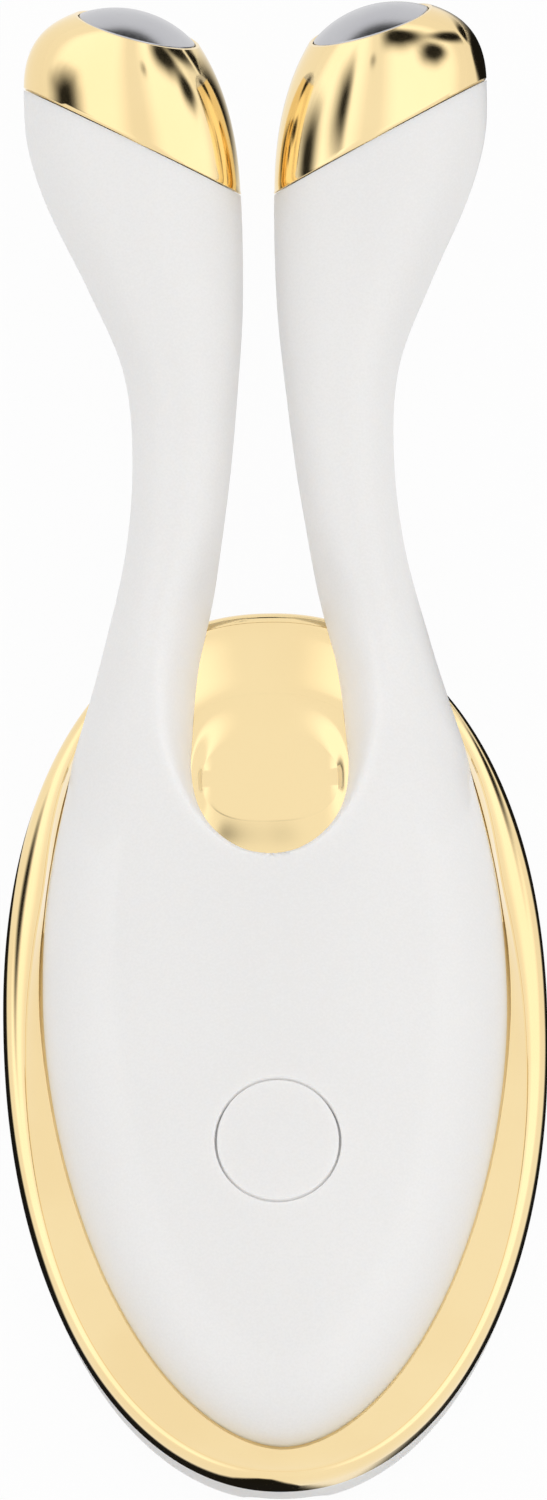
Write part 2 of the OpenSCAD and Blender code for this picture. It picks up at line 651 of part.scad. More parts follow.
// Boards
module plate(w, l, r, h) {
  linear_extrude(h) hull()
    for (x = [-1, 1], y = [-1, 1]) translate([x * (w / 2 - r), y * (l / 2 - r)]) circle(r);
}
module main_board() color("seagreen") difference() {
  translate([0, board_mid_y, board_z]) plate(board_w, board_l, board_r, board_t);
  for (p = standoffs) translate([p[0], p[1], board_z - over])
    cylinder(d = board_screw_d + 2 * bore_gap, h = board_t + 2 * over);
}
// Parts on the board: width, length, height, then the middle of each
lead_socket = [4, 4.5, 2.6];
lead_socket_at = [6.5, 11.5];
chips = [
  [[7, 7, 1], [0, 1]], [[5, 4, 1.2], [-7, -8]], [[4, 4, 2.2], [7.5, -9]], [[3, 6, 1], [0, -24.5]],
  [[5, 3.2, 2.4], [-5.5, 5.5]]
];
module board_parts() color("darkslategray") {
  for (c = chips) translate([c[1][0] - c[0][0] / 2, c[1][1] - c[0][1] / 2, board_top]) cube(c[0]);
  for (x = [-1, 1]) translate([x * lead_socket_at[0] - lead_socket[0] / 2,
                               lead_socket_at[1] - lead_socket[1] / 2, board_top]) cube(lead_socket);
}
module board_screws() color("gainsboro") for (p = standoffs) translate([p[0], p[1], 0]) {
  translate([0, 0, board_top]) cylinder(d = board_screw_d * 1.8, h = board_head_h);
  translate([0, 0, board_top + fuse - board_screw_l]) cylinder(d = board_screw_d, h = board_screw_l);
}

// Battery on its pad, on the floor of the rear shell under the tray
pad_t = 0.5;
pad_margin = 2;
battery_r = 2;
battery_y0 = 3;
module battery() color("lightsteelblue")
  translate([0, battery_y0 + battery_l / 2, rear_wall + pad_t])
    plate(battery_w, battery_l, battery_r, battery_h);
module battery_pad() color("dimgray")
  translate([0, battery_y0 + battery_l / 2, rear_wall])
    plate(battery_w - 2 * pad_margin, battery_l - 2 * pad_margin, battery_r, pad_t);

// Vibration motor: can in a cradle, shaft and eccentric weight
motor_end_y = -19.5;
motor_lift = 0.6;
motor_z = rear_wall + motor_lift + motor_d / 2;
shaft_out = 8;
shaft_in = 5;
weight_gap = 1.5;
weight_r = motor_d / 2 - 0.4;
weight_l = 5;
cradle_wall = 1.5;
cradle_w = motor_d + 2 * cradle_wall;
cradle_end = 2;
cradle_over = 1;
module along(y, d, l) {
  translate([0, y, motor_z]) rotate([90, 0, 0]) translate([0, 0, -l]) cylinder(d = d, h = l);
}
module motor_can() color("silver") difference() {
  along(motor_end_y - motor_l, motor_d, motor_l);
  along(motor_end_y - shaft_in - motor_lift, shaft_d + 2 * shaft_gap, shaft_in + motor_lift + over);
}
module motor_cradle() color("dimgray") difference() {
  translate([-cradle_w / 2, motor_end_y - motor_l + cradle_end, rear_wall])
    cube([cradle_w, motor_l - 2 * cradle_end, motor_z - rear_wall + cradle_over]);
  along(motor_end_y - motor_l, motor_d, motor_l);
}
module motor_shaft() color("gainsboro") along(motor_end_y - shaft_in, shaft_d, shaft_in + shaft_out);
module eccentric_weight() color("goldenrod") difference() {
  along(motor_end_y + weight_gap, 2 * weight_r, weight_l);
  along(motor_end_y, shaft_d, shaft_out + over);
  translate([-motor_d, motor_end_y, motor_z + shaft_d]) cube([2 * motor_d, shaft_out, motor_d]);
}

// Charging port on its own small board in the tail
charge_w = 13;
charge_l = 9;
charge_r = 2.5;
charge_y0 = -45;
module charge_board() color("seagreen")
  translate([0, charge_y0 + charge_l / 2, rear_wall]) plate(charge_w, charge_l, charge_r, charge_t);
module usb_c_port() color("silver") difference() {
  translate([0, usb_mouth_y + usb_l / 2, usb_z]) slot(usb_w, usb_h, usb_l);
  translate([0, usb_mouth_y + usb_l / 2 - over, usb_z])
    slot(usb_w - 2 * usb_wall, usb_h - 2 * usb_wall, usb_l);
}

// Housing screws and the plugs that cover them
module housing_screws() color("gainsboro") for (p = posts) translate([p[0], p[1], 0]) {
  translate([0, 0, head_seat - head_h]) cylinder(d = head_d, h = head_h);
  translate([0, 0, head_seat - fuse]) cylinder(d = screw_d, h = floor_z + screw_grip - head_seat);
}
module screw_plugs() color("whitesmoke") for (p = posts)
  translate([p[0], p[1], head_gap]) cylinder(d = head_d + 2 * head_gap, h = plug_t);

// Electrode leads: from the stud, through the arm and round the notch to the board
lead_d = 1.4;
lead_tail = 2;
lead_route = [
  [10.5, 86, 27], [9.8, 76, 24.8], [9, 64, 22.4], [9.4, 54, 20.6], [11.2, 46, 19.4], [12.8, 38, 19],
  [12.6, 30, 18.6], [11.3, 22.4, 17.8], [7.8, 16.6, 16.8]
];
lead_start = seat - (recess - gasket_t + stud_l) * seat_normal;
lead_end = [lead_socket_at[0], lead_socket_at[1] + lead_socket[1] / 2, board_top + lead_socket[2] / 2];
lead_points = concat(
  [lead_start, lead_start - lead_tail * seat_normal], lead_route,
  [lead_end + [0, lead_d, 0], lead_end]);
lead_sides = 8;
function lead_ring(i) =
  let (last = len(lead_points) - 1,
       d = unit(i == 0 ? -seat_normal
                : i == last ? [0, -1, 0] : lead_points[i + 1] - lead_points[i - 1]),
       a = unit(cross(d, [1, 0, 0])), b = cross(d, a))
  [for (k = [0 : lead_sides - 1]) let (q = 360 * k / lead_sides)
    lead_points[i] + lead_d / 2 * (cos(q) * a + sin(q) * b)];
module electrode_lead(left) color("firebrick") side(left)
  stack([for (i = [0 : len(lead_points) - 1]) lead_ring(i)]);

front_shell();
arm_back(true);  // arm_back_left
arm_back(false);  // arm_back_right
bezel_tray();
rear_shell();
seam_gasket();
head_cap(true);  // head_cap_left
head_cap(false);  // head_cap_right
electrode(true);  // electrode_left
electrode(false);  // electrode_right
electrode_gasket(true);  // electrode_gasket_left
electrode_gasket(false);  // electrode_gasket_right
electrode_nut(true);  // electrode_nut_left
electrode_nut(false);  // electrode_nut_right
electrode_lead(true);  // electrode_lead_left
electrode_lead(false);  // electrode_lead_right
button_cap();
switch_plunger();
switch_body();
main_board();
board_parts();
board_screws();
battery();
battery_pad();
motor_can();
motor_cradle();
motor_shaft();
eccentric_weight();
charge_board();
usb_c_port();
housing_screws();
screw_plugs();
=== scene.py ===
"""Looks of a handheld facial lifting device in satin white, gold plate and polished steel."""
import logging
import math
from dataclasses import dataclass, field
from enum import Enum
from functools import cached_property
from typing import Any, Optional, Sequence, Union

import bmesh
import bpy
from mathutils import Matrix, Vector


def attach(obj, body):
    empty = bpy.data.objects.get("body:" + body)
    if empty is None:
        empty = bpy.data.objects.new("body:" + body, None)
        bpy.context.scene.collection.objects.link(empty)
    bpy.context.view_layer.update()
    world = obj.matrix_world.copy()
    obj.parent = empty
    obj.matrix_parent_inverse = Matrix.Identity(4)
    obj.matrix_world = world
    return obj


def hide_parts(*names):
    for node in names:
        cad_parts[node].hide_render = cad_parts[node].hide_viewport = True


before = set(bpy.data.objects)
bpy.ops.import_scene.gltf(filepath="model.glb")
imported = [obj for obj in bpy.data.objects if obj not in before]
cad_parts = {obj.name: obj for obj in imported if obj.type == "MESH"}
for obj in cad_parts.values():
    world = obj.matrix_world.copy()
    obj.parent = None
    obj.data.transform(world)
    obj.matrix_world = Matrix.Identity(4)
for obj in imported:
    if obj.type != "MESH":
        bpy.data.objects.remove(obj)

LOG = logging.getLogger("scene")
MM = 0.001
MERGE = 2e-6  # metres within which two points are one
DEGENERATE = 1e-7  # metres below which an edge is dropped
LEAST = 0.001  # smallest half width, in millimetres, that a share is taken of
Pair = tuple[float, float]
Triple = tuple[float, float, float]
Point = Union[Vector, Triple]
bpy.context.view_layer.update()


# Maths that the shapes share

def mix(a: Any, b: Any, t: float) -> Any:
    """The number or vector between a and b at share t."""
    return a + (b - a) * t


def clamp(t: float) -> float:
    """The number kept from 0 to 1."""
    return min(1.0, max(0.0, t))


def smooth(t: float) -> float:
    """A soft step from 0 to 1."""
    u = clamp(t)
    return u * u * (3 - 2 * u)


def dome(u: float, power: float) -> float:
    """Height of a rounded rise at share u of its run.

    Args:
        u: Share of the run, 0 at the foot.
        power: How full the rounding is, 2 for a circle.

    Returns:
        The share of the full height.
    """
    return max(0.0, 1 - (1 - clamp(u)) ** power) ** (1 / power)


def bend(a: Vector, b: Vector, c: Vector, t: float) -> Vector:
    """A point of the quadratic curve from a to c that leans towards b."""
    return mix(mix(a, b, t), mix(b, c, t), t)


def squarish(turn: float, half: Pair, power: float) -> Pair:
    """Point of an oval between a circle and a rectangle.

    Args:
        turn: Angle in radians.
        half: Half width and half length.
        power: How square it is, 2 for an ellipse.

    Returns:
        The point's x and y.
    """
    c, s = math.cos(turn), math.sin(turn)
    return (math.copysign(half[0] * abs(c) ** (2 / power), c),
            math.copysign(half[1] * abs(s) ** (2 / power), s))


@dataclass(frozen=True)
class Edge:
    """A smooth curve through chosen points, as a width over the distance along the device."""

    knots: tuple[Pair, ...]
    flat_start: bool = False

    def slope(self, i: int) -> float:
        """The slope at one knot.

        Args:
            i: The knot's number.

        Returns:
            Width gained per millimetre.
        """
        if i == 0 and self.flat_start:
            return 0.0
        a, b = self.knots[max(0, i - 1)], self.knots[min(len(self.knots) - 1, i + 1)]
        return (b[1] - a[1]) / (b[0] - a[0])

    def at(self, y: float) -> float:
        """The width at one distance.

        Args:
            y: Distance along the device.

        Returns:
            The width there.
        """
        i = 0
        while i < len(self.knots) - 2 and y >= self.knots[i + 1][0]:
            i += 1
        (y0, v0), (y1, v1) = self.knots[i], self.knots[i + 1]
        w = y1 - y0
        t = (y - y0) / w
        return ((2 * t ** 3 - 3 * t * t + 1) * v0
                + (t ** 3 - 2 * t * t + t) * w * self.slope(i)
                + (3 * t * t - 2 * t ** 3) * v1
                + (t ** 3 - t * t) * w * self.slope(i + 1))


def spline(points: Sequence[Pair], steps: int) -> list[Pair]:
    """A smooth line through the points.

    Args:
        points: The points to pass through.
        steps: Pieces between two points.

    Returns:
        The finer line.
    """
    out: list[Pair] = []
    for i in range(len(points) - 1):
        p0, p1 = points[max(0, i - 1)], points[i]
        p2, p3 = points[i + 1], points[min(len(points) - 1, i + 2)]
        for s in range(steps):
            t = s / steps
            out.append(tuple(
                0.5 * (2 * b + (c - a) * t + (2 * a - 5 * b + 4 * c - d) * t * t
                       + (3 * b - a - 3 * c + d) * t ** 3)
                for a, b, c, d in zip(p0, p1, p2, p3)))
    out.append(tuple(points[-1]))
    return out


# Plans of the gold oval and the white body

@dataclass(frozen=True)
class Oval:
    """Plan of the gold bezel and the rear shell."""

    width: float = 59.8
    up: float = 47.6
    down: float = 52.6
    upper_power: float = 2.2
    lower_power: float = 2.1
    probe: float = 0.5

    def point(self, angle: float) -> Vector:
        """Point of the edge.

        Args:
            angle: Angle in degrees, 0 at the right and 90 towards the electrodes.

        Returns:
            The point in plan.
        """
        turn = math.radians(angle)
        if math.sin(turn) >= 0:
            return Vector(squarish(turn, (self.width / 2, self.up), self.upper_power))
        return Vector(squarish(turn, (self.width / 2, self.down), self.lower_power))

    def inside(self, angle: float, inset: float) -> Vector:
        """Point of the edge, moved in at a right angle to it."""
        d = self.point(angle + self.probe) - self.point(angle - self.probe)
        return self.point(angle) - inset * Vector((d.y, -d.x)).normalized()


@dataclass(frozen=True)
class BodyPlan:
    """Edges and heights of the white body, in millimetres."""

    oval: Oval = Oval()
    crest_z: float = 15.0
    floor_z: float = 12.4
    side_gap: float = 4.4
    mid_y: float = 3.1
    tail_gap: float = 4.6
    crown_h: float = 13.0
    wall: float = 1.6
    notch_y: float = 30.8
    notch_half: float = 8.7
    notch_depth: float = 13.65
    notch_round: float = 1.5
    notch_least: float = 0.4
    neck_half: float = 5.5
    head_half: float = 8.0
    arm_z: float = 21.5
    arm_rise: float = 10.0
    seam_gap: float = 0.1
    body_power: float = 1.85
    notch_power: float = 2.15
    crown_power: float = 2.2
    shoulder_y: float = 27.0
    cut_inner_y: float = 91.6
    cut_outer_y: float = 103.2
    arm_start: float = 50.0
    rise_span: float = 55.0
    crest_gap: float = 0.7
    outer_cross_back: float = 21.6
    inner_cross_back: float = 10.6
    outer_lift_l: float = 22.0
    inner_lift_l: float = 14.0
    cross_l: float = 5.0
    tail_power: float = 2.3
    crown_y: float = 10.0
    crown_l: float = 44.0
    swell_y: float = 60.0
    swell_l: float = 36.0
    belly_back: float = 3.6
    blend_over: float = 0.4
    arm_stations: tuple[float, ...] = (18, 15, 12, 9, 6, 3)
    notch_degrees: float = 3.0

    @property
    def half(self) -> float:
        """Half width of the body at its widest line."""
        return self.oval.width / 2 - self.side_gap

    @property
    def down(self) -> float:
        """Reach of the body from its widest line to the tail."""
        return self.oval.down - self.tail_gap + self.mid_y

    @property
    def notch_end(self) -> float:
        """The notch's end on the middle line."""
        return self.notch_y - self.notch_depth

    @property
    def outer(self) -> Edge:
        """Outer edge of an arm."""
        shares = ((self.mid_y, 1), (15, .973), (28, .871), (41.5, .71), (52, .604),
                  (63.5, .565), (73, .6), (82, .745), (91, .914), (97.5, .992), (104, 1.004))
        return Edge(tuple((y, s * self.half) for y, s in shares), True)

    @property
    def inner(self) -> Edge:
        """Inner edge of an arm."""
        shares = ((self.notch_y, 1), (39.5, .9), (49.5, .628), (59.5, .442), (69.5, .314),
                  (79, .221), (89, .204), (97, .245))
        return Edge(tuple((y, s * self.notch_half) for y, s in shares))

    @property
    def cut_slope(self) -> float:
        """Slope of the line where a head cap begins."""
        return (self.cut_outer_y - self.cut_inner_y) / (
            self.outer.at(self.cut_outer_y) - self.inner.at(self.cut_inner_y))

    def rise(self, y: float) -> float:
        """How far the arms have curved forwards at y."""
        return self.arm_rise * (max(0.0, y - self.arm_start) / self.rise_span) ** 2

    def lean(self, y: float) -> float:
        """Angle of the arms at y, in radians."""
        return math.atan(2 * self.arm_rise * max(0.0, y - self.arm_start) / self.rise_span ** 2)

    def base(self, y: float, cross_y: float, lift_l: float) -> float:
        """Height of an edge of the front shell.

        Args:
            y: Distance along the device.
            cross_y: Where the edge passes over the gold crest.
            lift_l: Run over which it then climbs to the arm's middle plane.

        Returns:
            The height.
        """
        step = self.crest_z - self.floor_z + self.crest_gap
        lift = self.arm_z - self.floor_z - step
        return (self.floor_z + step * smooth((y - cross_y) / self.cross_l)
                + lift * smooth((y - cross_y - self.cross_l) / lift_l) + self.rise(y))

    def outer_base(self, y: float) -> float:
        """Height of the outer edge."""
        return self.base(y, self.oval.up - self.outer_cross_back, self.outer_lift_l)

    def inner_base(self, y: float) -> float:
        """Height of the inner edge."""
        return self.base(y, self.oval.up - self.inner_cross_back, self.inner_lift_l)

    def swell(self, y: float) -> float:
        """How much an arm thickens towards its head."""
        return (self.head_half - self.neck_half) * smooth((y - self.swell_y) / self.swell_l)

    def crown(self, y: float) -> float:
        """The highest line of the front.

        Args:
            y: Distance along the device.

        Returns:
            Its height.
        """
        if y < self.mid_y:
            share = 1 - clamp((self.mid_y - y) / self.down)
            return self.floor_z + self.crown_h * dome(share, self.tail_power)
        start, end = self.floor_z + self.crown_h, self.arm_z + self.neck_half
        return (mix(start, end, smooth((y - self.crown_y) / self.crown_l))
                + self.rise(y) + self.swell(y))

    def belly(self, y: float) -> float:
        """The lowest line of an arm's back.

        Args:
            y: Distance along the device.

        Returns:
            Its height.
        """
        start, end = self.crest_z + self.crest_gap, self.arm_z - self.neck_half
        return (mix(start, end, smooth((y - self.oval.up + self.belly_back) / self.inner_lift_l))
                + self.rise(y) - self.swell(y))

    def half_at(self, y: float) -> float:
        """Half width of the body's outline.

        Args:
            y: Distance along the device.

        Returns:
            The half width there.
        """
        if y >= self.mid_y:
            return self.outer.at(y)
        return self.half * dome(1 - (self.mid_y - y) / self.down, self.body_power)

    def top(self, x: float, y: float) -> float:
        """Height of the front over the tail and the middle."""
        share = 1 - abs(x) / max(LEAST, self.half_at(y))
        return self.floor_z + (self.crown(y) - self.floor_z) * dome(share, self.crown_power)

    def body_edge(self, angle: float, inset: float) -> Vector:
        """Point of the tail's outline.

        Args:
            angle: Angle in degrees, 0 at the widest line and 90 at the tail's end.
            inset: Distance that the point moves in.

        Returns:
            The point in plan.
        """
        x, y = squarish(math.radians(angle), (self.half - inset, self.down - inset),
                        self.body_power)
        return Vector((x, self.mid_y - y))

    def notch_edge(self, angle: float, inset: float) -> Vector:
        """Point of the notch's round end.

        Args:
            angle: Angle in degrees, 0 at the notch's side and 90 at its end.
            inset: Distance that the point moves into the white body.

        Returns:
            The point in plan.
        """
        x, y = squarish(math.radians(angle),
                        (self.notch_half + inset, self.notch_depth + inset), self.notch_power)
        return Vector((x, self.notch_y - y))

    @cached_property
    def notch_line(self) -> list[Vector]:
        """The notch's edge.

        Returns:
            Its points in plan, from an arm's inner side round to the middle.
        """
        arm = [Vector((self.inner.at(self.notch_y + d), self.notch_y + d))
               for d in self.arm_stations]
        turns = int(90 / self.notch_degrees)
        return arm + [self.notch_edge(self.notch_degrees * a, 0) for a in range(turns + 1)]

    def to_notch(self, p: Vector) -> float:
        """How far a point is from the notch.

        Args:
            p: The point in plan.

        Returns:
            Its distance to the notch's edge.
        """
        best = math.inf
        for a, b in zip(self.notch_line, self.notch_line[1:]):
            d = b - a
            best = min(best, (p - a - clamp((p - a).dot(d) / d.dot(d)) * d).length)
        return best

    def skin(self, a: Vector, b: Vector, u: float, inset: float, front: bool) -> Vector:
        """One point of a shell between two edge points.

        Args:
            a: Point of the inner edge or the middle line.
            b: Point of the outer edge.
            u: Share of the way from a to b.
            inset: Distance inside the outer surface.
            front: True for the front shell, False for an arm back.

        Returns:
            The point.
        """
        blend_y = self.oval.up + self.blend_over
        blend = smooth((blend_y - a.y) / (blend_y - self.notch_end))
        share = mix(0.5, 1, blend)
        t = mix((1 - math.cos(math.pi * u)) / 2, math.sin(math.pi / 2 * u),
                smooth((self.notch_end - a.y) / self.notch_depth))
        w = (b - a).length
        p = mix(a, b, t)
        notch_r = mix(w / 2, max(self.notch_least, self.notch_round - inset), blend)
        away = t * w
        if blend > 0:
            away = mix(t * w, max(0.0, self.to_notch(p) - inset), smooth(2 * blend))
        across = mix(t, p.x / max(LEAST, self.half_at(p.y) - inset), blend)
        lift = dome((1 - across) / share, mix(2, self.crown_power, blend)) * dome(away / notch_r, 2)
        base = mix(self.inner_base(a.y), self.outer_base(b.y), t)
        if front:
            h = lift * max(0.0, self.crown(p.y) - inset - base)
        else:
            h = lift * min(0.0, self.belly(p.y) + inset - base)
        tip = self.lean((a.y + b.y) / 2)
        return Vector((p.x, p.y - h * math.sin(tip), base + h * math.cos(tip)))


# Meshes

class Shape:
    """A mesh under construction, in millimetres."""

    def __init__(self) -> None:
        """Starts empty."""
        self.points: list[Vector] = []
        self.faces: list[tuple[int, ...]] = []

    def row(self, points: Sequence[Point]) -> list[int]:
        """Adds points.

        Args:
            points: The points.

        Returns:
            Their numbers.
        """
        start = len(self.points)
        self.points += [Vector(p) for p in points]
        return list(range(start, len(self.points)))

    def band(self, a: Sequence[int], b: Sequence[int], closed: bool = False) -> None:
        """Joins two rows of equal length with quads.

        Args:
            a: Numbers of the first row's points.
            b: Numbers of the second row's points.
            closed: True where each row is a ring.
        """
        n = len(a)
        for i in range(n if closed else n - 1):
            j = (i + 1) % n
            self.faces.append((a[i], a[j], b[j], b[i]))

    def loft(self, rows: Sequence[Sequence[Point]], closed: bool = True) -> list[list[int]]:
        """Joins rows of points one after the other.

        Args:
            rows: Rows of equal length.
            closed: True where each row is a ring.

        Returns:
            The numbers of the points, row by row.
        """
        ids = [self.row(r) for r in rows]
        for a, b in zip(ids, ids[1:]):
            self.band(a, b, closed)
        return ids

    def cap(self, ring: Sequence[int]) -> None:
        """Closes a ring with one face."""
        self.faces.append(tuple(ring))

    def fill(self, outline: Sequence[Point], holes: Sequence[Sequence[Point]]) -> None:
        """Adds a flat face with holes.

        Args:
            outline: The outer ring.
            holes: The inner rings.
        """
        bm = bmesh.new()
        edges = []
        for ring in (outline, *holes):
            verts = [bm.verts.new(p) for p in ring]
            edges += [bm.edges.new((verts[i - 1], verts[i])) for i in range(len(verts))]
        bmesh.ops.triangle_fill(bm, edges=edges, use_beauty=True, use_dissolve=False)
        bm.verts.index_update()
        start = len(self.points)
        self.points += [v.co.copy() for v in bm.verts]
        self.faces += [tuple(start + v.index for v in f.verts) for f in bm.faces]
        bm.free()

    def mirrored(self) -> None:
        """Adds the mirror image over the middle line."""
        n = len(self.points)
        self.points += [Vector((-p.x, p.y, p.z)) for p in self.points]
        self.faces += [tuple(n + i for i in reversed(f)) for f in self.faces]

    def flipped(self) -> "Shape":
        """The mirror image.

        Returns:
            A shape of its own, on the other side of the middle line.
        """
        other = Shape()
        other.points = [Vector((-p.x, p.y, p.z)) for p in self.points]
        other.faces = [tuple(reversed(f)) for f in self.faces]
        return other

    def build(self, name: str, material: bpy.types.Material,
              sharp: float = 35.0) -> bpy.types.Object:
        """Makes the object.

        Args:
            name: The object's name.
            material: Its finish.
            sharp: Angle in degrees above which an edge stays sharp.

        Returns:
            The object, in metres.
        """
        mesh = bpy.data.meshes.new(name)
        mesh.from_pydata([p * MM for p in self.points], [], self.faces)
        bm = bmesh.new()
        bm.from_mesh(mesh)
        bmesh.ops.remove_doubles(bm, verts=bm.verts, dist=MERGE)
        bmesh.ops.dissolve_degenerate(bm, edges=bm.edges, dist=DEGENERATE)
        bmesh.ops.recalc_face_normals(bm, faces=bm.faces)
        bm.to_mesh(mesh)
        bm.free()
        mesh.shade_smooth()
        mesh.set_sharp_from_angle(angle=math.radians(sharp))
        mesh.materials.append(material)
        obj = bpy.data.objects.new(name, mesh)
        bpy.context.scene.collection.objects.link(obj)
        return obj


def place(obj: bpy.types.Object, body: str, slot: str, *nodes: str) -> bpy.types.Object:
    """Gives a piece its body and hides the solids it stands for.

    Args:
        obj: The piece.
        body: The moving body it rides on.
        slot: Not used.
        nodes: The solids that it replaces.

    Returns:
        The piece.
    """
    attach(obj, body)
    if nodes:
        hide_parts(*nodes)
    LOG.info("%s: %d faces", obj.name, len(obj.data.polygons))
    return obj


# White front shell and the backs of its arms

@dataclass(frozen=True)
class ButtonPlace:
    """The power button and its round hole, in millimetres."""

    y: float = -16.6
    cap_r: float = 6.65
    gap: float = 0.3
    lip: float = 0.22
    flange_r: float = 7.8
    flange_low: float = 21.2
    flange_top: float = 22.0
    stem_r: float = 1.7
    stem_end: float = 19.2


@dataclass
class FrontShell:
    """The white front in one piece: body, arms, notch and the button's hole."""

    plan: BodyPlan = field(default_factory=BodyPlan)
    button: ButtonPlace = field(default_factory=ButtonPlace)
    arm_rungs: int = 64
    notch_rungs: int = 40
    tail_rungs: int = 64
    steps: int = 44
    block: tuple[int, int, int] = (21, 34, 14)
    hole_rings: int = 12
    lip_steps: int = 5
    tail_crowd: float = 0.92

    def rung(self, i: int, inset: float) -> tuple[Vector, Vector]:
        """The ends of one rung across half the body.

        Args:
            i: The rung's number, from the head to the tail.
            inset: Distance inside the outer surface.

        Returns:
            Its inner and its outer end in plan.
        """
        p, k = self.plan, self.arm_rungs
        if i <= k:
            t = i / k
            ya = mix(p.cut_inner_y + inset * p.cut_slope, p.notch_y, t)
            yb = mix(p.cut_outer_y - inset * p.cut_slope, p.shoulder_y, t)
            return (Vector((p.inner.at(ya) + inset, ya)),
                    Vector((p.outer.at(yb) - inset, yb)))
        if i <= k + self.notch_rungs:
            t = (i - k) / self.notch_rungs
            yb = mix(p.shoulder_y, p.mid_y, t)
            return p.notch_edge(90 * t, inset), Vector((p.outer.at(yb) - inset, yb))
        s = (i - k - self.notch_rungs) / self.tail_rungs
        t = s - self.tail_crowd * s * (1 - s) ** 3
        y = mix(p.notch_end - inset, p.mid_y - p.down + inset, math.sin(math.pi / 2 * t))
        return Vector((0, y)), p.body_edge(90 * t, inset)

    def skin(self, shape: Shape, inset: float,
             hole_r: float) -> tuple[list[list[int]], list[int]]:
        """One skin of half the shell.

        Args:
            shape: The mesh to add to.
            inset: Distance inside the outer surface.
            hole_r: Radius of the button's hole.

        Returns:
            The numbers of the points by rung, and those round the hole.
        """
        p = self.plan
        first = self.arm_rungs + self.notch_rungs
        i0, i1, j1 = first + self.block[0], first + self.block[1], self.block[2]
        rows = []
        for i in range(first + self.tail_rungs + 1):
            a, b = self.rung(i, inset)
            rows.append(shape.row([p.skin(a, b, j / self.steps, inset, True)
                                   for j in range(self.steps + 1)]))
        for i in range(len(rows) - 1):
            start = j1 if i0 <= i < i1 else 0
            shape.band(rows[i][start:], rows[i + 1][start:])
        loop = rows[i0][:j1] + [rows[i][j1] for i in range(i0, i1)] + rows[i1][j1::-1]
        centre = Vector((0, self.button.y))
        previous = loop
        for s in range(1, self.hole_rings + 1):
            share = s / self.hole_rings
            ring = []
            for k in loop:
                start = shape.points[k].xy
                spot = mix(start, centre + hole_r * (start - centre).normalized(), share)
                half = max(LEAST, p.half_at(spot.y) - inset)
                h = (p.crown(spot.y) - inset - p.floor_z) * dome(1 - spot.x / half, p.crown_power)
                ring.append(Vector((spot.x, spot.y, p.floor_z + h)))
            ids = shape.row(ring)
            shape.band(previous, ids)
            previous = ids
        return rows, previous

    def turned(self, p: Vector, centre: Vector, turn: float) -> Vector:
        """Point of the hole's rounded lip.

        Args:
            p: Point where the lip starts on the front.
            centre: The hole's middle in plan.
            turn: Angle round the lip in radians, 0 on the front.

        Returns:
            The point.
        """
        out = (p.xy - centre).normalized()
        q = p.xy - out * self.button.lip * math.sin(turn)
        return Vector((q.x, q.y, p.z - self.button.lip * (1 - math.cos(turn))))

    def build(self, white: bpy.types.Material) -> bpy.types.Object:
        """Builds and dresses the shell.

        Args:
            white: Its finish.

        Returns:
            The piece.
        """
        shape, b = Shape(), self.button
        outer, hole = self.skin(shape, 0, b.cap_r + b.gap + b.lip)
        inner, inner_hole = self.skin(shape, self.plan.wall, b.cap_r + b.gap)
        last = self.arm_rungs + self.notch_rungs + 1
        shape.band([r[-1] for r in outer], [r[-1] for r in inner])
        shape.band([r[0] for r in outer[:last]], [r[0] for r in inner[:last]])
        shape.band(outer[0], inner[0])
        centre, previous = Vector((0, b.y)), hole
        for s in range(1, self.lip_steps + 1):
            turn = math.pi / 2 * s / self.lip_steps
            ids = shape.row([self.turned(shape.points[k], centre, turn) for k in hole])
            shape.band(previous, ids)
            previous = ids
        shape.band(previous, inner_hole)
        shape.mirrored()
        return place(shape.build("front_housing", white), "housing", "white_shell",
                     "front_shell")


@dataclass
class ArmBack:
    """The lower half of one arm."""

    plan: BodyPlan = field(default_factory=BodyPlan)
    rungs: int = 56
    steps: int = 26
    inner_back: float = 2.6
    outer_back: float = 9.0

    def grid(self, shape: Shape, inset: float) -> list[list[int]]:
        """One skin of the right arm's back.

        Args:
            shape: The mesh to add to.
            inset: Distance inside the outer surface.

        Returns:
            The numbers of the points by rung.
        """
        p = self.plan
        inner_end = p.oval.up - self.inner_back + inset / 2
        outer_end = p.oval.up - self.outer_back + inset / 2
        rows = []
        for i in range(self.rungs + 1):
            t = i / self.rungs
            ya = mix(p.cut_inner_y + inset * p.cut_slope, inner_end, t)
            yb = mix(p.cut_outer_y - inset * p.cut_slope, outer_end, t)
            a = Vector((p.inner.at(ya) + inset, ya))
            b = Vector((p.outer.at(yb) - inset, yb))
            rows.append(shape.row([
                p.skin(a, b, j / self.steps, inset, False) - Vector((0, 0, p.seam_gap))
                for j in range(self.steps + 1)]))
        for a, b in zip(rows, rows[1:]):
            shape.band(a, b)
        return rows

    def build(self, white: bpy.types.Material) -> None:
        """Builds and dresses both arm backs.

        Args:
            white: Their finish.
        """
        shape = Shape()
        outer, inner = self.grid(shape, 0), self.grid(shape, self.plan.wall)
        shape.band([r[-1] for r in outer], [r[-1] for r in inner])
        shape.band([r[0] for r in outer], [r[0] for r in inner])
        shape.band(outer[0], inner[0])
        shape.band(outer[-1], inner[-1])
        for side, made in (("right", shape), ("left", shape.flipped())):
            place(made.build(f"arm_underside_{side}", white), "housing", "white_shell",
                  f"arm_back_{side}")


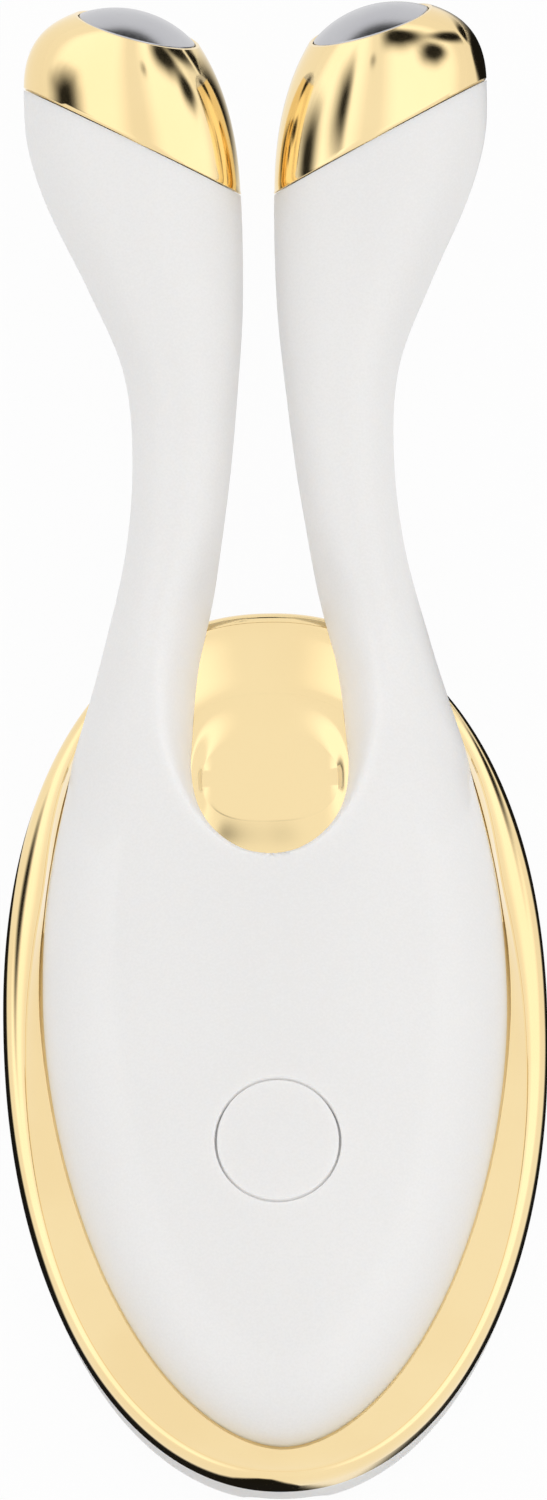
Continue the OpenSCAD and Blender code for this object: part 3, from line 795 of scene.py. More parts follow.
@dataclass
class PowerButton:
    """The round button cap, flush with the front."""

    plan: BodyPlan = field(default_factory=BodyPlan)
    at: ButtonPlace = field(default_factory=ButtonPlace)
    steps: int = 112
    face_rings: int = 16
    lip_rings: int = 5

    def ring(self, r: float, z: Optional[float] = None, drop: float = 0.0,
             seen_r: Optional[float] = None) -> list[Vector]:
        """A ring round the button.

        Args:
            r: Radius.
            z: Height, or None to follow the front.
            drop: Distance below the front.
            seen_r: Radius at which the front's height is taken.

        Returns:
            The ring's points.
        """
        out = []
        for i in range(self.steps):
            a = 2 * math.pi * i / self.steps
            k = r if seen_r is None else seen_r
            high = self.plan.top(k * math.cos(a), self.at.y + k * math.sin(a)) - drop
            out.append(Vector((r * math.cos(a), self.at.y + r * math.sin(a),
                               high if z is None else z)))
        return out

    def build(self, white: bpy.types.Material) -> bpy.types.Object:
        """Builds and dresses the button.

        Args:
            white: Its finish.

        Returns:
            The piece.
        """
        b, flat = self.at, self.at.cap_r - self.at.lip
        rows = [self.ring(flat * s / self.face_rings) for s in range(1, self.face_rings + 1)]
        for s in range(1, self.lip_rings + 1):
            turn = math.pi / 2 * s / self.lip_rings
            rows.append(self.ring(flat + b.lip * math.sin(turn), None,
                                  b.lip * (1 - math.cos(turn)), flat))
        rows += [self.ring(b.cap_r, b.flange_top), self.ring(b.flange_r, b.flange_top),
                 self.ring(b.flange_r, b.flange_low), self.ring(b.stem_r, b.flange_low),
                 self.ring(b.stem_r, b.stem_end)]
        shape = Shape()
        ids = shape.loft(rows)
        shape.cap(ids[0])
        shape.cap(ids[-1])
        return place(shape.build("power_button", white), "button", "white_shell", "button_cap")


# Gold bezel

@dataclass(frozen=True)
class Dish:
    """The shallow hollow of the gold tray that shows in the notch."""

    plan: BodyPlan = field(default_factory=BodyPlan)
    side: float = 1.2
    lap: float = 0.2
    end: float = 7.0
    top: float = 9.2
    slope: float = 5.0
    power: float = 2.6
    depth: float = 0.6
    flat_y: float = 27.95
    flat_half: Pair = (11.5, 11.8)
    flat_power: float = 3.0
    side_fall: float = 1.5
    steps: int = 160
    floor_rings: int = 6
    side_rings: int = 24

    def ring(self, t: float, grow: float = 1.0) -> list[Vector]:
        """Ring between the hollow's floor at t 0 and its rim at t 1.

        Args:
            t: Share of the way out.
            grow: Size of the ring, below 1 on the floor.

        Returns:
            The ring's points.
        """
        p, out = self.plan, []
        half = (p.notch_half + mix(-self.side, self.lap, t)) * grow
        low = p.notch_end + mix(self.end, -self.lap, t)
        high = p.oval.up - self.top - mix(self.slope, 0.0, t)
        for i in range(self.steps):
            turn = math.tau * i / self.steps
            fall = mix((1 - t) ** self.side_fall, 1 - smooth(t), smooth(math.sin(turn)))
            x, y = squarish(turn, (half, (high - low) / 2 * grow), self.power)
            out.append(Vector((x, (low + high) / 2 + y, p.floor_z - self.depth * fall)))
        return out

    def flat(self) -> list[Vector]:
        """Edge of the flat round the rim.

        Returns:
            Its points, a squarish oval.
        """
        out = []
        for i in range(self.steps):
            x, y = squarish(math.tau * i / self.steps, self.flat_half, self.flat_power)
            out.append(Vector((x, self.flat_y + y, self.plan.floor_z)))
        return out

    def rows(self) -> list[list[Vector]]:
        """Rings of the whole hollow.

        Returns:
            The rings, from the middle of the floor out to the flat round the rim.
        """
        rows = [self.ring(0, k / self.floor_rings) for k in range(1, self.floor_rings)]
        rows += [self.ring(k / self.side_rings) for k in range(self.side_rings + 1)]
        return rows + [self.flat()]

    def holds(self, p: Vector) -> bool:
        """True inside the flat round the rim."""
        return (abs(p.x / self.flat_half[0]) ** self.flat_power
                + abs((p.y - self.flat_y) / self.flat_half[1]) ** self.flat_power) < 1


@dataclass
class Bezel:
    """The gold oval ring with its rounded band, crease, inner slope and dished tray."""

    plan: BodyPlan = field(default_factory=BodyPlan)
    dish: Dish = field(default_factory=Dish)
    band_w: float = 2.4
    band_h: float = 2.4
    crease: float = 0.3
    slope_gap: float = 0.1
    slope_least: float = 0.25
    slope_power: float = 1.7
    seam_z: float = 10.5
    flange_low: float = 11.2
    flange_in: float = 7.0
    free_y: float = 30.0
    top_end: float = 9.0
    top_l: float = 10.0
    soft_y: float = 36.0
    soft_l: float = 8.0
    soft_crease: float = 0.2
    crease_fall: float = 1.3
    crease_mid: float = 0.4
    band_power: float = 0.92
    rim_in: float = 2.0
    rim_edge: float = 0.12
    sunk: float = 1.0
    sharp: float = 28.0
    steps: int = 360
    band_steps: int = 16
    slope_steps: int = 16
    tray_steps: int = 5
    halvings: int = 24

    @property
    def band_line(self) -> Edge:
        """Width of the band, as a share of its width at the widest line."""
        oval = self.plan.oval
        return Edge(((-oval.down, .42), (-34, .52), (-19, .71), (0, 1), (10, 1.25), (17, 1.33),
                     (30, .8), (38, .68), (oval.up, .66)))

    def body_gap(self, angle: float) -> float:
        """Distance from the gold edge to the white body's outline, found by halving.

        Args:
            angle: Angle round the oval, in degrees.

        Returns:
            The distance.
        """
        low, high = 0.0, self.flange_in
        for _ in range(self.halvings):
            d = (low + high) / 2
            p = self.plan.oval.inside(angle, d)
            low, high = (low, d) if abs(p.x) < self.plan.half_at(p.y) else (d, high)
        return low

    def profile(self, angle: float) -> list[Pair]:
        """Distance in from the gold edge and height, from under the flange to the tray.

        Args:
            angle: Angle round the oval, in degrees.

        Returns:
            The points, of which the last ones lie on the tray.
        """
        crest, floor = self.plan.crest_z, self.plan.floor_z
        y = self.plan.oval.point(angle).y
        gap = self.body_gap(angle) - self.slope_gap
        soft = smooth((y - self.soft_y) / self.soft_l)
        c = self.crease * mix(1, self.soft_crease, soft)
        b = self.band_w * self.band_line.at(y)
        if y <= self.free_y:
            b = min(b, gap - c - self.slope_least)
        low = crest - self.crease_fall * c
        end = max(gap, b + c + self.slope_least,
                  self.top_end * smooth((y - self.free_y) / self.top_l))
        inner = max(self.flange_in, end + self.slope_least)
        out = [(inner, self.flange_low), (self.rim_in, self.flange_low),
               (self.rim_in, self.seam_z), (self.rim_edge, self.seam_z),
               (0.0, self.seam_z + self.rim_edge)]
        for k in range(self.band_steps + 1):
            a = math.pi / 2 * k / self.band_steps
            out.append((b * (1 - math.cos(a) ** self.band_power),
                        crest - self.band_h * (1 - math.sin(a) ** self.band_power)))
        out.append((b + c * self.crease_mid, crest - c))
        for k in range(self.slope_steps + 1):
            s = k / self.slope_steps
            out.append((mix(b + c, end, s),
                        mix(floor, low, mix((1 - s) ** self.slope_power, 1 - smooth(s), soft))))
        return out + [(mix(end, inner, k / self.tray_steps), floor)
                      for k in range(1, self.tray_steps + 1)]

    def rows(self) -> list[list[Vector]]:
        """Rings from under the flange, round the outside and in over the tray.

        Returns:
            The rings, sunk where the dish takes the tray's place.
        """
        rows: list[list[Vector]] = []
        for i in range(self.steps):
            angle = 360 * i / self.steps
            line = self.profile(angle)
            rows = rows or [[] for _ in line]
            for n, (d, z) in enumerate(line):
                p = self.plan.oval.inside(angle, d)
                if n >= len(line) - self.tray_steps and self.dish.holds(p):
                    z -= self.sunk
                rows[n].append(Vector((p.x, p.y, z)))
        return rows

    def build(self, gold: bpy.types.Material) -> bpy.types.Object:
        """Builds and dresses the bezel.

        Args:
            gold: Its finish.

        Returns:
            The piece.
        """
        shape = Shape()
        ids = shape.loft(self.rows())
        shape.band(ids[-1], ids[0], True)
        ids = shape.loft(self.dish.rows())
        shape.cap(ids[0])
        return place(shape.build("gold_bezel", gold, self.sharp), "housing", "gold_plate",
                     "bezel_tray")


# White rear shell

@dataclass
class RearShell:
    """The white bowl behind the bezel, with its charging slot and screw holes."""

    plan: BodyPlan = field(default_factory=BodyPlan)
    outer: tuple[Pair, ...] = ((7, -.4), (4.6, .35), (2.6, 1.3), (1.3, 3), (.6, 5), (.35, 8),
                               (.3, 10.38))
    rim: Pair = (0.42, 10.5)
    inner: tuple[Pair, ...] = ((2, 10.5), (2, 10.2), (4.2, 10.2), (4.2, 9), (2.3, 7.5),
                               (2.6, 5), (3.4, 3.4), (4.6, 2.3), (6.8, 1.8))
    posts: tuple[Pair, ...] = ((18.5, 10), (-18.5, 10), (16, -22), (-16, -22))
    plug_r: float = 2.1
    plug_top: float = 1.7
    slot_half: Pair = (4.72, 1.88)
    slot_z: float = 4.43
    slot_heights: Pair = (1.6, 7.4)
    slot_walls: tuple[Pair, ...] = ((0.06, 0.99), (0.2, 0.975), (2.2, 0.975))
    slot_rings: int = 6
    steps: int = 360
    fine: int = 8
    hole_steps: int = 48
    block_half: int = 14
    tail_angles: Pair = (240.0, 300.0)
    halvings: int = 40
    slot_halvings: int = 30
    sharp: float = 40.0

    def profile(self) -> list[Pair]:
        """The outside from the rest face up to the seam.

        Returns:
            Distances in from the gold edge, with their heights.
        """
        fine = spline(self.outer, self.fine)
        rest = next(k for k, q in enumerate(fine) if q[1] > 0)
        a, b = fine[rest - 1], fine[rest]
        start = mix(a[0], b[0], -a[1] / (b[1] - a[1]))
        return [(start, 0.0)] + fine[rest:] + [self.rim]

    def wall(self, x: float, z: float) -> Vector:
        """Point of the tail's wall, found by halving.

        Args:
            x: Distance from the middle line.
            z: Height.

        Returns:
            The point.
        """
        line = self.profile()
        last = len(line) - 1
        k = max(1, next((n for n, q in enumerate(line) if q[1] >= z), last))
        (d0, z0), (d1, z1) = line[k - 1], line[k]
        d = mix(d0, d1, clamp((z - z0) / (z1 - z0)))
        low, high = self.tail_angles
        for _ in range(self.halvings):
            mid = (low + high) / 2
            if self.plan.oval.inside(mid, d).x < x:
                low = mid
            else:
                high = mid
        p = self.plan.oval.inside(low, d)
        return Vector((x, p.y, z))

    def slot_point(self, out: Pair) -> Pair:
        """Point of the charging slot's edge, found by halving.

        Args:
            out: A place outside the slot, from its middle.

        Returns:
            The point of the edge in that direction.
        """
        low, high, r = 0.0, 1.0, self.slot_half[1]
        for _ in range(self.slot_halvings):
            mid = (low + high) / 2
            x, z = abs(out[0]) * mid, abs(out[1]) * mid
            if math.hypot(max(0.0, x - (self.slot_half[0] - r)), z) < r:
                low = mid
            else:
                high = mid
        return out[0] * low, out[1] * low

    def ring(self, d: float, z: float) -> list[Point]:
        """Ring of the oval's shape, a distance in from the gold edge."""
        return [(*self.plan.oval.inside(360 * i / self.steps, d), z) for i in range(self.steps)]

    def outside(self, shape: Shape) -> list[list[int]]:
        """Adds the outside, with the charging slot cut into the tail.

        Args:
            shape: The mesh to add to.

        Returns:
            The numbers of the points, row by row.
        """
        line, n = self.profile(), self.steps
        middle = n * 3 // 4
        c0, c1 = middle - self.block_half, middle + self.block_half
        r0 = max(k for k, q in enumerate(line) if q[1] < self.slot_heights[0])
        r1 = min(k for k, q in enumerate(line) if q[1] > self.slot_heights[1])
        rows = [shape.row(self.ring(d, z)) for d, z in line]
        for r in range(len(rows) - 1):
            for c in range(n):
                if r0 <= r < r1 and c0 <= c < c1:
                    continue
                e = (c + 1) % n
                shape.faces.append((rows[r][c], rows[r][e], rows[r + 1][e], rows[r + 1][c]))
        loop = (rows[r0][c0:c1] + [rows[r][c1] for r in range(r0, r1)]
                + rows[r1][c1:c0:-1] + [rows[r][c0] for r in range(r1, r0, -1)])
        starts = [(shape.points[k].x, shape.points[k].z - self.slot_z) for k in loop]
        ends = [self.slot_point(s) for s in starts]
        previous = loop
        for k in range(1, self.slot_rings + 1):
            t = k / self.slot_rings
            ids = shape.row([self.wall(mix(s[0], e[0], t), self.slot_z + mix(s[1], e[1], t))
                             for s, e in zip(starts, ends)])
            shape.band(previous, ids, True)
            previous = ids
        edge = [shape.points[k] for k in previous]
        for depth, shrink in self.slot_walls:
            ids = shape.row([Vector((p.x * shrink, p.y + depth,
                                     self.slot_z + (p.z - self.slot_z) * shrink)) for p in edge])
            shape.band(previous, ids, True)
            previous = ids
        return rows

    def screw_holes(self, shape: Shape) -> list[list[Vector]]:
        """Adds the four sockets that the screw plugs close.

        Args:
            shape: The mesh to add to.

        Returns:
            Their rims on the rest face.
        """
        holes = []
        for x, y in self.posts:
            turns = [math.tau * i / self.hole_steps for i in range(self.hole_steps)]
            ring = [Vector((x + self.plug_r * math.cos(a), y + self.plug_r * math.sin(a), 0))
                    for a in turns]
            holes.append(ring)
            ids = shape.loft([ring, [p + Vector((0, 0, self.plug_top)) for p in ring]])
            shape.cap(ids[-1])
        return holes

    def build(self, white: bpy.types.Material) -> bpy.types.Object:
        """Builds and dresses the rear shell.

        Args:
            white: Its finish.

        Returns:
            The piece.
        """
        shape = Shape()
        rows = self.outside(shape)
        holes = self.screw_holes(shape)
        shape.fill([shape.points[k] for k in rows[0]], holes)
        inner = shape.loft([self.ring(d, z) for d, z in self.inner])
        shape.band(rows[-1], inner[0], True)
        shape.cap(inner[-1])
        return place(shape.build("rear_housing", white, self.sharp), "housing", "white_shell",
                     "rear_shell")


# Heads

@dataclass
class Head:
    """One arm's gold head cap and its steel electrode."""

    plan: BodyPlan = field(default_factory=BodyPlan)
    electrode_d: float = 13.2
    electrode_h: float = 2.0
    lean: float = 29.0
    turn: float = 18.0
    lip: float = 0.45
    recess: float = 1.5
    cap_wall: float = 1.5
    flange_t: float = 1.0
    stud_r: float = 2.0
    stud_l: float = 6.5
    spigot_l: float = 3.5
    chamfer: float = 0.16
    chamfer_shares: Pair = (0.3, 0.25)
    soft: float = 0.1
    first: float = 0.005
    joint_insets: Pair = (0.03, 0.12)
    rim_depths: Pair = (-0.02, 0.12)
    ease: float = 0.08
    stud_ease: float = 0.15
    spigot_gap: float = 0.6
    spigot_wall: float = 1.0
    seat_share: float = 0.465
    seat_up: Pair = (11.4, 12.8)
    inner_pull: Triple = (0.2, 9.9, 3.4)
    outer_pull: Triple = (0, 6.4, 2.2)
    height_pull: float = 1.1
    bore_stations: tuple[float, ...] = (0.15, 0.35, 0.55)
    rings: int = 40
    dome_rings: int = 24
    steps: int = 96

    def __post_init__(self) -> None:
        """Works out the cut, the seat and the axes between them."""
        p = self.plan
        ya, yb = p.cut_inner_y, p.cut_outer_y
        self.cut_in = Vector((p.inner.at(ya), ya, p.inner_base(ya)))
        self.cut_out = Vector((p.outer.at(yb), yb, p.outer_base(yb)))
        tip = p.lean((ya + yb) / 2)
        self.cut_up = Vector((0, -math.sin(tip), math.cos(tip)))
        self.along = Vector((0, math.cos(tip), math.sin(tip)))
        self.cut_normal = self.cut_up.cross(self.cut_out - self.cut_in).normalized()
        self.seat = Vector((mix(self.cut_in.x, self.cut_out.x, self.seat_share),
                            (ya + yb) / 2 + self.seat_up[0], p.arm_z + self.seat_up[1]))
        lean, turn = math.radians(self.lean), math.radians(self.turn)
        self.normal = Vector((-math.sin(turn) * math.cos(lean), math.cos(turn) * math.cos(lean),
                              math.sin(lean)))
        self.side = (Vector((1, 0, 0)) - self.normal * self.normal.x).normalized()
        self.up = self.side.cross(self.normal)
        self.seat_r = self.electrode_d / 2 + self.lip

    def ring(self, t: float, inset: float = 0.0,
             shift: Vector = Vector((0, 0, 0))) -> list[Vector]:
        """Ring of the head between the arm's cut and the electrode's seat.

        Args:
            t: Share of the way, 0 at the cut and 1 at the seat.
            inset: Distance inside the outer surface.
            shift: A move of the whole ring.

        Returns:
            The ring's points.
        """
        reach = self.seat_r * self.side
        a = bend(self.cut_in, self.cut_in + Vector(self.inner_pull), self.seat - reach, t)
        b = bend(self.cut_out, self.cut_out + Vector(self.outer_pull), self.seat + reach, t)
        half = self.plan.head_half
        w = bend(half * self.cut_up,
                 half * self.height_pull * (self.cut_up + self.up).normalized(),
                 self.seat_r * self.up, t)
        c, u = (a + b) / 2, (b - a) / 2
        ku, kw = 1 - inset / u.length, 1 - inset / w.length
        return [c + shift + ku * math.cos(q) * u + kw * math.sin(q) * w
                for q in (math.tau * i / self.steps for i in range(self.steps))]

    def seat_ring(self, r: float, depth: float) -> list[Vector]:
        """Ring round the electrode's axis.

        Args:
            r: Radius.
            depth: Distance below the seat.

        Returns:
            The ring's points.
        """
        centre = self.seat - depth * self.normal
        return [centre + r * (math.cos(q) * self.side + math.sin(q) * self.up)
                for q in (math.tau * i / self.steps for i in range(self.steps))]

    def cap_shape(self) -> Shape:
        """The gold cap of the right arm.

        Returns:
            Its mesh, from the recess over the outside and back through the bore.
        """
        r, e, shares = self.electrode_d / 2 + self.ease, self.chamfer, self.chamfer_shares
        joint, end = self.plan.seam_gap * self.cut_normal, -self.spigot_l * self.along
        spigot, bore = self.plan.wall + self.spigot_gap, self.stud_r + self.stud_ease
        inner = spigot + self.spigot_wall
        rows = [self.seat_ring(r, self.recess), self.seat_ring(r, self.soft),
                self.seat_ring(r + self.soft, 0), self.seat_ring(self.seat_r - e, 0),
                self.seat_ring(self.seat_r - shares[0] * e, shares[1] * e)]
        rows += [self.ring(1 - k / self.rings * (1 - self.first) - self.first)
                 for k in range(self.rings)]
        rows += [self.ring(0, self.joint_insets[0], joint * 2),
                 self.ring(0, self.joint_insets[1], joint),
                 self.ring(0, spigot, joint), self.ring(0, spigot, end),
                 self.ring(0, inner, end), self.ring(0, inner, joint)]
        rows += [self.ring(t, mix(spigot, self.cap_wall, t)) for t in self.bore_stations]
        rows += [self.seat_ring(self.electrode_d / 2 - self.cap_wall, self.recess + self.cap_wall),
                 self.seat_ring(bore, self.recess + self.cap_wall),
                 self.seat_ring(bore, self.recess), self.seat_ring(r, self.recess)]
        shape = Shape()
        shape.loft(rows)
        return shape

    def electrode_shape(self) -> Shape:
        """The steel electrode of the right arm, with its stud.

        Returns:
            Its mesh.
        """
        half, high, e = self.electrode_d / 2, self.electrode_h, self.chamfer
        dome_r = (half ** 2 + high ** 2) / (2 * high)
        edge = math.asin((half - e) / dome_r)
        rows = []
        for k in range(1, self.dome_rings + 1):
            q = edge * k / self.dome_rings
            rows.append(self.seat_ring(dome_r * math.sin(q),
                                       dome_r - high - dome_r * math.cos(q)))
        rows += [self.seat_ring(half - self.chamfer_shares[0] * e, self.rim_depths[0]),
                 self.seat_ring(half, self.rim_depths[1]),
                 self.seat_ring(half, self.flange_t), self.seat_ring(self.stud_r, self.flange_t),
                 self.seat_ring(self.stud_r, self.flange_t + self.stud_l)]
        shape = Shape()
        ids = shape.loft(rows)
        shape.cap(ids[0])
        shape.cap(ids[-1])
        return shape

    def build(self, gold: bpy.types.Material, steel: bpy.types.Material) -> None:
        """Builds and dresses both heads.

        Args:
            gold: Finish of the caps.
            steel: Finish of the electrodes.
        """
        cap, disc = self.cap_shape(), self.electrode_shape()
        for side in ("right", "left"):
            place(cap.build(f"gold_head_{side}", gold), "housing", "gold_plate",
                  f"head_cap_{side}")
            place(disc.build(f"steel_disc_{side}", steel), "housing", "electrode_steel",
                  f"electrode_{side}")
            cap, disc = cap.flipped(), disc.flipped()


# Shader maths

class Value:
    """A socket that takes part in sums."""

    def __init__(self, nodes: "Nodes", socket: bpy.types.NodeSocket) -> None:
        """Keeps the socket and the tree it belongs to."""
        self.nodes, self.socket = nodes, socket

    def __add__(self, other: "Number") -> "Value":
        """This plus other."""
        return self.nodes.maths("ADD", self, other)

    def __sub__(self, other: "Number") -> "Value":
        """This minus other."""
        return self.nodes.maths("SUBTRACT", self, other)

    def __rsub__(self, other: "Number") -> "Value":
        """Other minus this."""
        return self.nodes.maths("SUBTRACT", other, self)

    def __mul__(self, other: "Number") -> "Value":
        """This times other."""
        return self.nodes.maths("MULTIPLY", self, other)

    __radd__ = __add__
    __rmul__ = __mul__


Number = Union[float, Value]
Colour = Triple


class Nodes:
    """The node tree of a material or a world, and short ways to add to it."""

    def __init__(self, owner: Union[bpy.types.Material, bpy.types.World]) -> None:
        """Empties the owner's tree.

        Args:
            owner: The material or world.
        """
        owner.use_nodes = True
        self.tree = owner.node_tree
        self.tree.nodes.clear()

    def node(self, kind: str, settings: dict[str, Any],
             inputs: dict[Any, Any]) -> bpy.types.Node:
        """Adds a node.

        Args:
            kind: The node's type.
            settings: Its own settings, set first.
            inputs: Values or links of its sockets, by name or number.

        Returns:
            The node.
        """
        made = self.tree.nodes.new(kind)
        for key, value in settings.items():
            setattr(made, key, value)
        for key, value in inputs.items():
            socket = made.inputs[key]
            if isinstance(value, Value):
                self.tree.links.new(value.socket, socket)
            elif isinstance(value, bpy.types.NodeSocket):
                self.tree.links.new(value, socket)
            elif socket.type == "RGBA" and len(value) == 3:
                socket.default_value = (*value, 1)
            else:
                socket.default_value = value
        return made

    def maths(self, operation: str, *values: Number) -> Value:
        """Adds a Math node on numbers."""
        made = self.node("ShaderNodeMath", {"operation": operation}, dict(enumerate(values)))
        return Value(self, made.outputs[0])

    def blend(self, share: Number, a: Any, b: Any) -> bpy.types.NodeSocket:
        """Mixes two colours."""
        made = self.node("ShaderNodeMix", {"data_type": "RGBA"}, {0: share, 6: a, 7: b})
        return made.outputs[2]

    def step(self, value: Number, low: float, high: float) -> Value:
        """A soft step of a number between two limits."""
        made = self.node("ShaderNodeMapRange", {"interpolation_type": "SMOOTHSTEP"},
                         {0: value, 1: low, 2: high, 3: 0.0, 4: 1.0})
        return Value(self, made.outputs[0])

    def spot(self) -> bpy.types.NodeSocket:
        """Place on the object, in metres."""
        return self.node("ShaderNodeTexCoord", {}, {}).outputs["Object"]

    def length(self, spot: bpy.types.NodeSocket, scale: Triple, shift: Triple) -> Value:
        """Length of a place that is scaled and then shifted.

        Args:
            spot: The place.
            scale: Factor along each axis.
            shift: Move along each axis.

        Returns:
            The length.
        """
        moved = self.node("ShaderNodeVectorMath", {"operation": "MULTIPLY_ADD"},
                          {0: spot, 1: scale, 2: shift})
        made = self.node("ShaderNodeVectorMath", {"operation": "LENGTH"}, {0: moved.outputs[0]})
        return Value(self, made.outputs[1])

    def noise(self, scale: float, detail: float = 2.0, stretch: Triple = (1, 1, 1)) -> Value:
        """Noise over the object.

        Args:
            scale: How many features fit in a metre.
            detail: Finer layers.
            stretch: How the place is stretched along each axis.

        Returns:
            The noise, from 0 to 1.
        """
        spot = self.spot()
        if stretch != (1, 1, 1):
            spot = self.node("ShaderNodeMapping", {}, {"Vector": spot, "Scale": stretch}).outputs[0]
        made = self.node("ShaderNodeTexNoise", {},
                         {"Vector": spot, "Scale": scale, "Detail": detail})
        return Value(self, made.outputs[0])

    def bump(self, height: Value, strength: float, distance: float) -> bpy.types.NodeSocket:
        """Turns a height into a normal."""
        made = self.node("ShaderNodeBump", {},
                         {"Strength": strength, "Distance": distance, "Height": height})
        return made.outputs[0]

    def fade(self, clear: Number, level: float) -> bpy.types.NodeSocket:
        """A plain light level that gives way to nothing.

        Args:
            clear: Share of nothing, 1 where it is clear.
            level: The light level.

        Returns:
            The shader.
        """
        glow = self.node("ShaderNodeEmission", {}, {"Color": (1, 1, 1), "Strength": level})
        nothing = self.node("ShaderNodeBsdfTransparent", {}, {})
        return self.node("ShaderNodeMixShader", {}, {
            0: clear, 1: glow.outputs[0], 2: nothing.outputs[0]}).outputs[0]

    def ends(self, shader: bpy.types.NodeSocket, kind: str = "ShaderNodeOutputMaterial") -> None:
        """Links the shader to the output."""
        self.node(kind, {}, {0: shader})


# Finishes

@dataclass(frozen=True)
class SatinWhite:
    """Soft-touch white plastic with a fine moulded grain, and painted light that lifts the shade in
    the button's groove and beside the notch.
    """

    colour: Colour = (0.845, 0.835, 0.825)
    shade: Colour = (0.82, 0.81, 0.80)
    roughness: float = 0.42
    glow: float = 0.6
    glow_reach: Triple = (1.0, 0.9, 0.8)
    glow_depth: float = 0.0012
    grain: float = 3600.0
    clouds: float = 60.0
    layers: Pair = (1.5, 3.0)
    weights: Pair = (0.7, 0.3)
    patch: Pair = (0.34, 0.66)
    spread: float = 0.1
    relief: float = 0.25
    depth: float = 0.000012
    # Levels of the painted light that lifts the shade in the button's groove and beside the notch
    groove_painted_light: float = 0.12
    groove_half: Pair = (0.15, 0.22)
    notch_painted_light: float = 0.13
    notch_mid: float = 33.0
    notch_reach: Pair = (13.5, 19.0)
    notch_soft: Pair = (0.6, 1.0)
    notch_beside: Pair = (2.0, 7.0)

    def painted_glow(self, n: Nodes) -> Value:
        """Painted light: a glow added in the button's groove and along the notch's sides to lift
        their shade.

        Args:
            n: The material's nodes.

        Returns:
            The painted light level, 0 elsewhere.
        """
        spot, b = n.spot(), ButtonPlace()
        from_button = n.length(spot, (1 / MM, 1 / MM, 0), (0, -b.y, 0))
        off = n.maths("ABSOLUTE", from_button - (b.cap_r + b.gap / 2))
        w, h = self.notch_reach
        from_notch = n.length(spot, (1 / (w * MM), 1 / (h * MM), 0), (0, -self.notch_mid / h, 0))
        beside = n.length(spot, (1 / MM, 0, 0), (0, 0, 0))
        groove = 1 - n.step(off, *self.groove_half)
        notch = (1 - n.step(from_notch, *self.notch_soft)) * n.step(beside, *self.notch_beside)
        return groove * self.groove_painted_light + notch * self.notch_painted_light

    def material(self) -> bpy.types.Material:
        """Makes the material.

        Returns:
            The material.
        """
        made = bpy.data.materials.new("satin_white")
        n = Nodes(made)
        fine, broad = n.noise(self.grain, self.layers[0]), n.noise(self.clouds, self.layers[1])
        share = n.step(fine * self.weights[0] + broad * self.weights[1], *self.patch)
        bsdf = n.node("ShaderNodeBsdfPrincipled", {}, {
            "Base Color": n.blend(share, self.shade, self.colour),
            "Roughness": self.roughness - self.spread / 2 + fine * self.spread,
            "Subsurface Weight": self.glow, "Subsurface Radius": self.glow_reach,
            "Subsurface Scale": self.glow_depth,
            # The emission is painted light that lifts the shade in the groove and beside the notch
            "Emission Color": n.blend(self.painted_glow(n), (0, 0, 0), (1, 1, 1)),
            "Emission Strength": 1.0,
            "Normal": n.bump(fine, self.relief, self.depth)})
        n.ends(bsdf.outputs[0])
        return made


@dataclass(frozen=True)
class MirrorGold:
    """Polished gold plate with the faint haze and hairlines of plated plastic."""

    colour: Colour = (0.93, 0.74, 0.41)
    deep: Colour = (0.90, 0.70, 0.375)
    roughness: float = 0.07
    clouds: float = 45.0
    patch: Pair = (0.35, 0.65)
    hairlines: float = 900.0
    stretch: Triple = (0.08, 1.0, 1.0)
    spread: Pair = (0.03, 0.015)
    relief: float = 0.05
    depth: float = 0.000004

    def material(self) -> bpy.types.Material:
        """Makes the material.

        Returns:
            The material.
        """
        made = bpy.data.materials.new("mirror_gold")
        n = Nodes(made)
        haze, lines = n.noise(self.clouds, 4.0), n.noise(self.hairlines, 2.0, self.stretch)
        bsdf = n.node("ShaderNodeBsdfPrincipled", {}, {
            "Base Color": n.blend(n.step(haze, *self.patch), self.deep, self.colour),
            "Metallic": 1.0,
            "Roughness": self.roughness + haze * self.spread[0] + lines * self.spread[1],
            "Normal": n.bump(lines, self.relief, self.depth)})
        n.ends(bsdf.outputs[0])
        return made


@dataclass(frozen=True)
class PolishedSteel:
    """Grey polished steel with fine circular polishing marks."""

    colour: Colour = (0.55, 0.55, 0.57)
    deep: Colour = (0.49, 0.49, 0.52)
    roughness: float = 0.2
    clouds: float = 220.0
    grain: float = 2600.0
    stretch: Triple = (1.0, 0.3, 1.0)
    spread: float = 0.08
    relief: float = 0.12
    depth: float = 0.000006

    def material(self) -> bpy.types.Material:
        """Makes the material.

        Returns:
            The material.
        """
        made = bpy.data.materials.new("polished_steel")
        n = Nodes(made)
        marks, haze = n.noise(self.grain, 3.0, self.stretch), n.noise(self.clouds, 2.0)
        bsdf = n.node("ShaderNodeBsdfPrincipled", {}, {
            "Base Color": n.blend(haze, self.deep, self.colour),
            "Metallic": 1.0,
            "Roughness": self.roughness + marks * self.spread,
            "Normal": n.bump(marks, self.relief, self.depth)})
        n.ends(bsdf.outputs[0])
        return made


@dataclass(frozen=True)
class Moulded:
    """Finish of a piece inside the device: a colour, its gloss and its grain."""

    name: str
    colour: Colour
    shade: Colour
    roughness: float
    metallic: float = 0.0
    grain: float = 1500.0
    coarser: float = 12.0
    patch: Pair = (0.35, 0.65)
    spread: float = 0.12
    relief: float = 0.3
    depth: float = 0.00001

    def material(self) -> bpy.types.Material:
        """Makes the material.

        Returns:
            The material.
        """
        made = bpy.data.materials.new(self.name)
        n = Nodes(made)
        fine, broad = n.noise(self.grain, 2.0), n.noise(self.grain / self.coarser, 3.0)
        share = n.step(fine * 0.5 + broad * 0.5, *self.patch)
        bsdf = n.node("ShaderNodeBsdfPrincipled", {}, {
            "Base Color": n.blend(share, self.shade, self.colour),
            "Metallic": self.metallic,
            "Roughness": self.roughness + fine * self.spread,
            "Normal": n.bump(fine, self.relief, self.depth)})
        n.ends(bsdf.outputs[0])
        return made


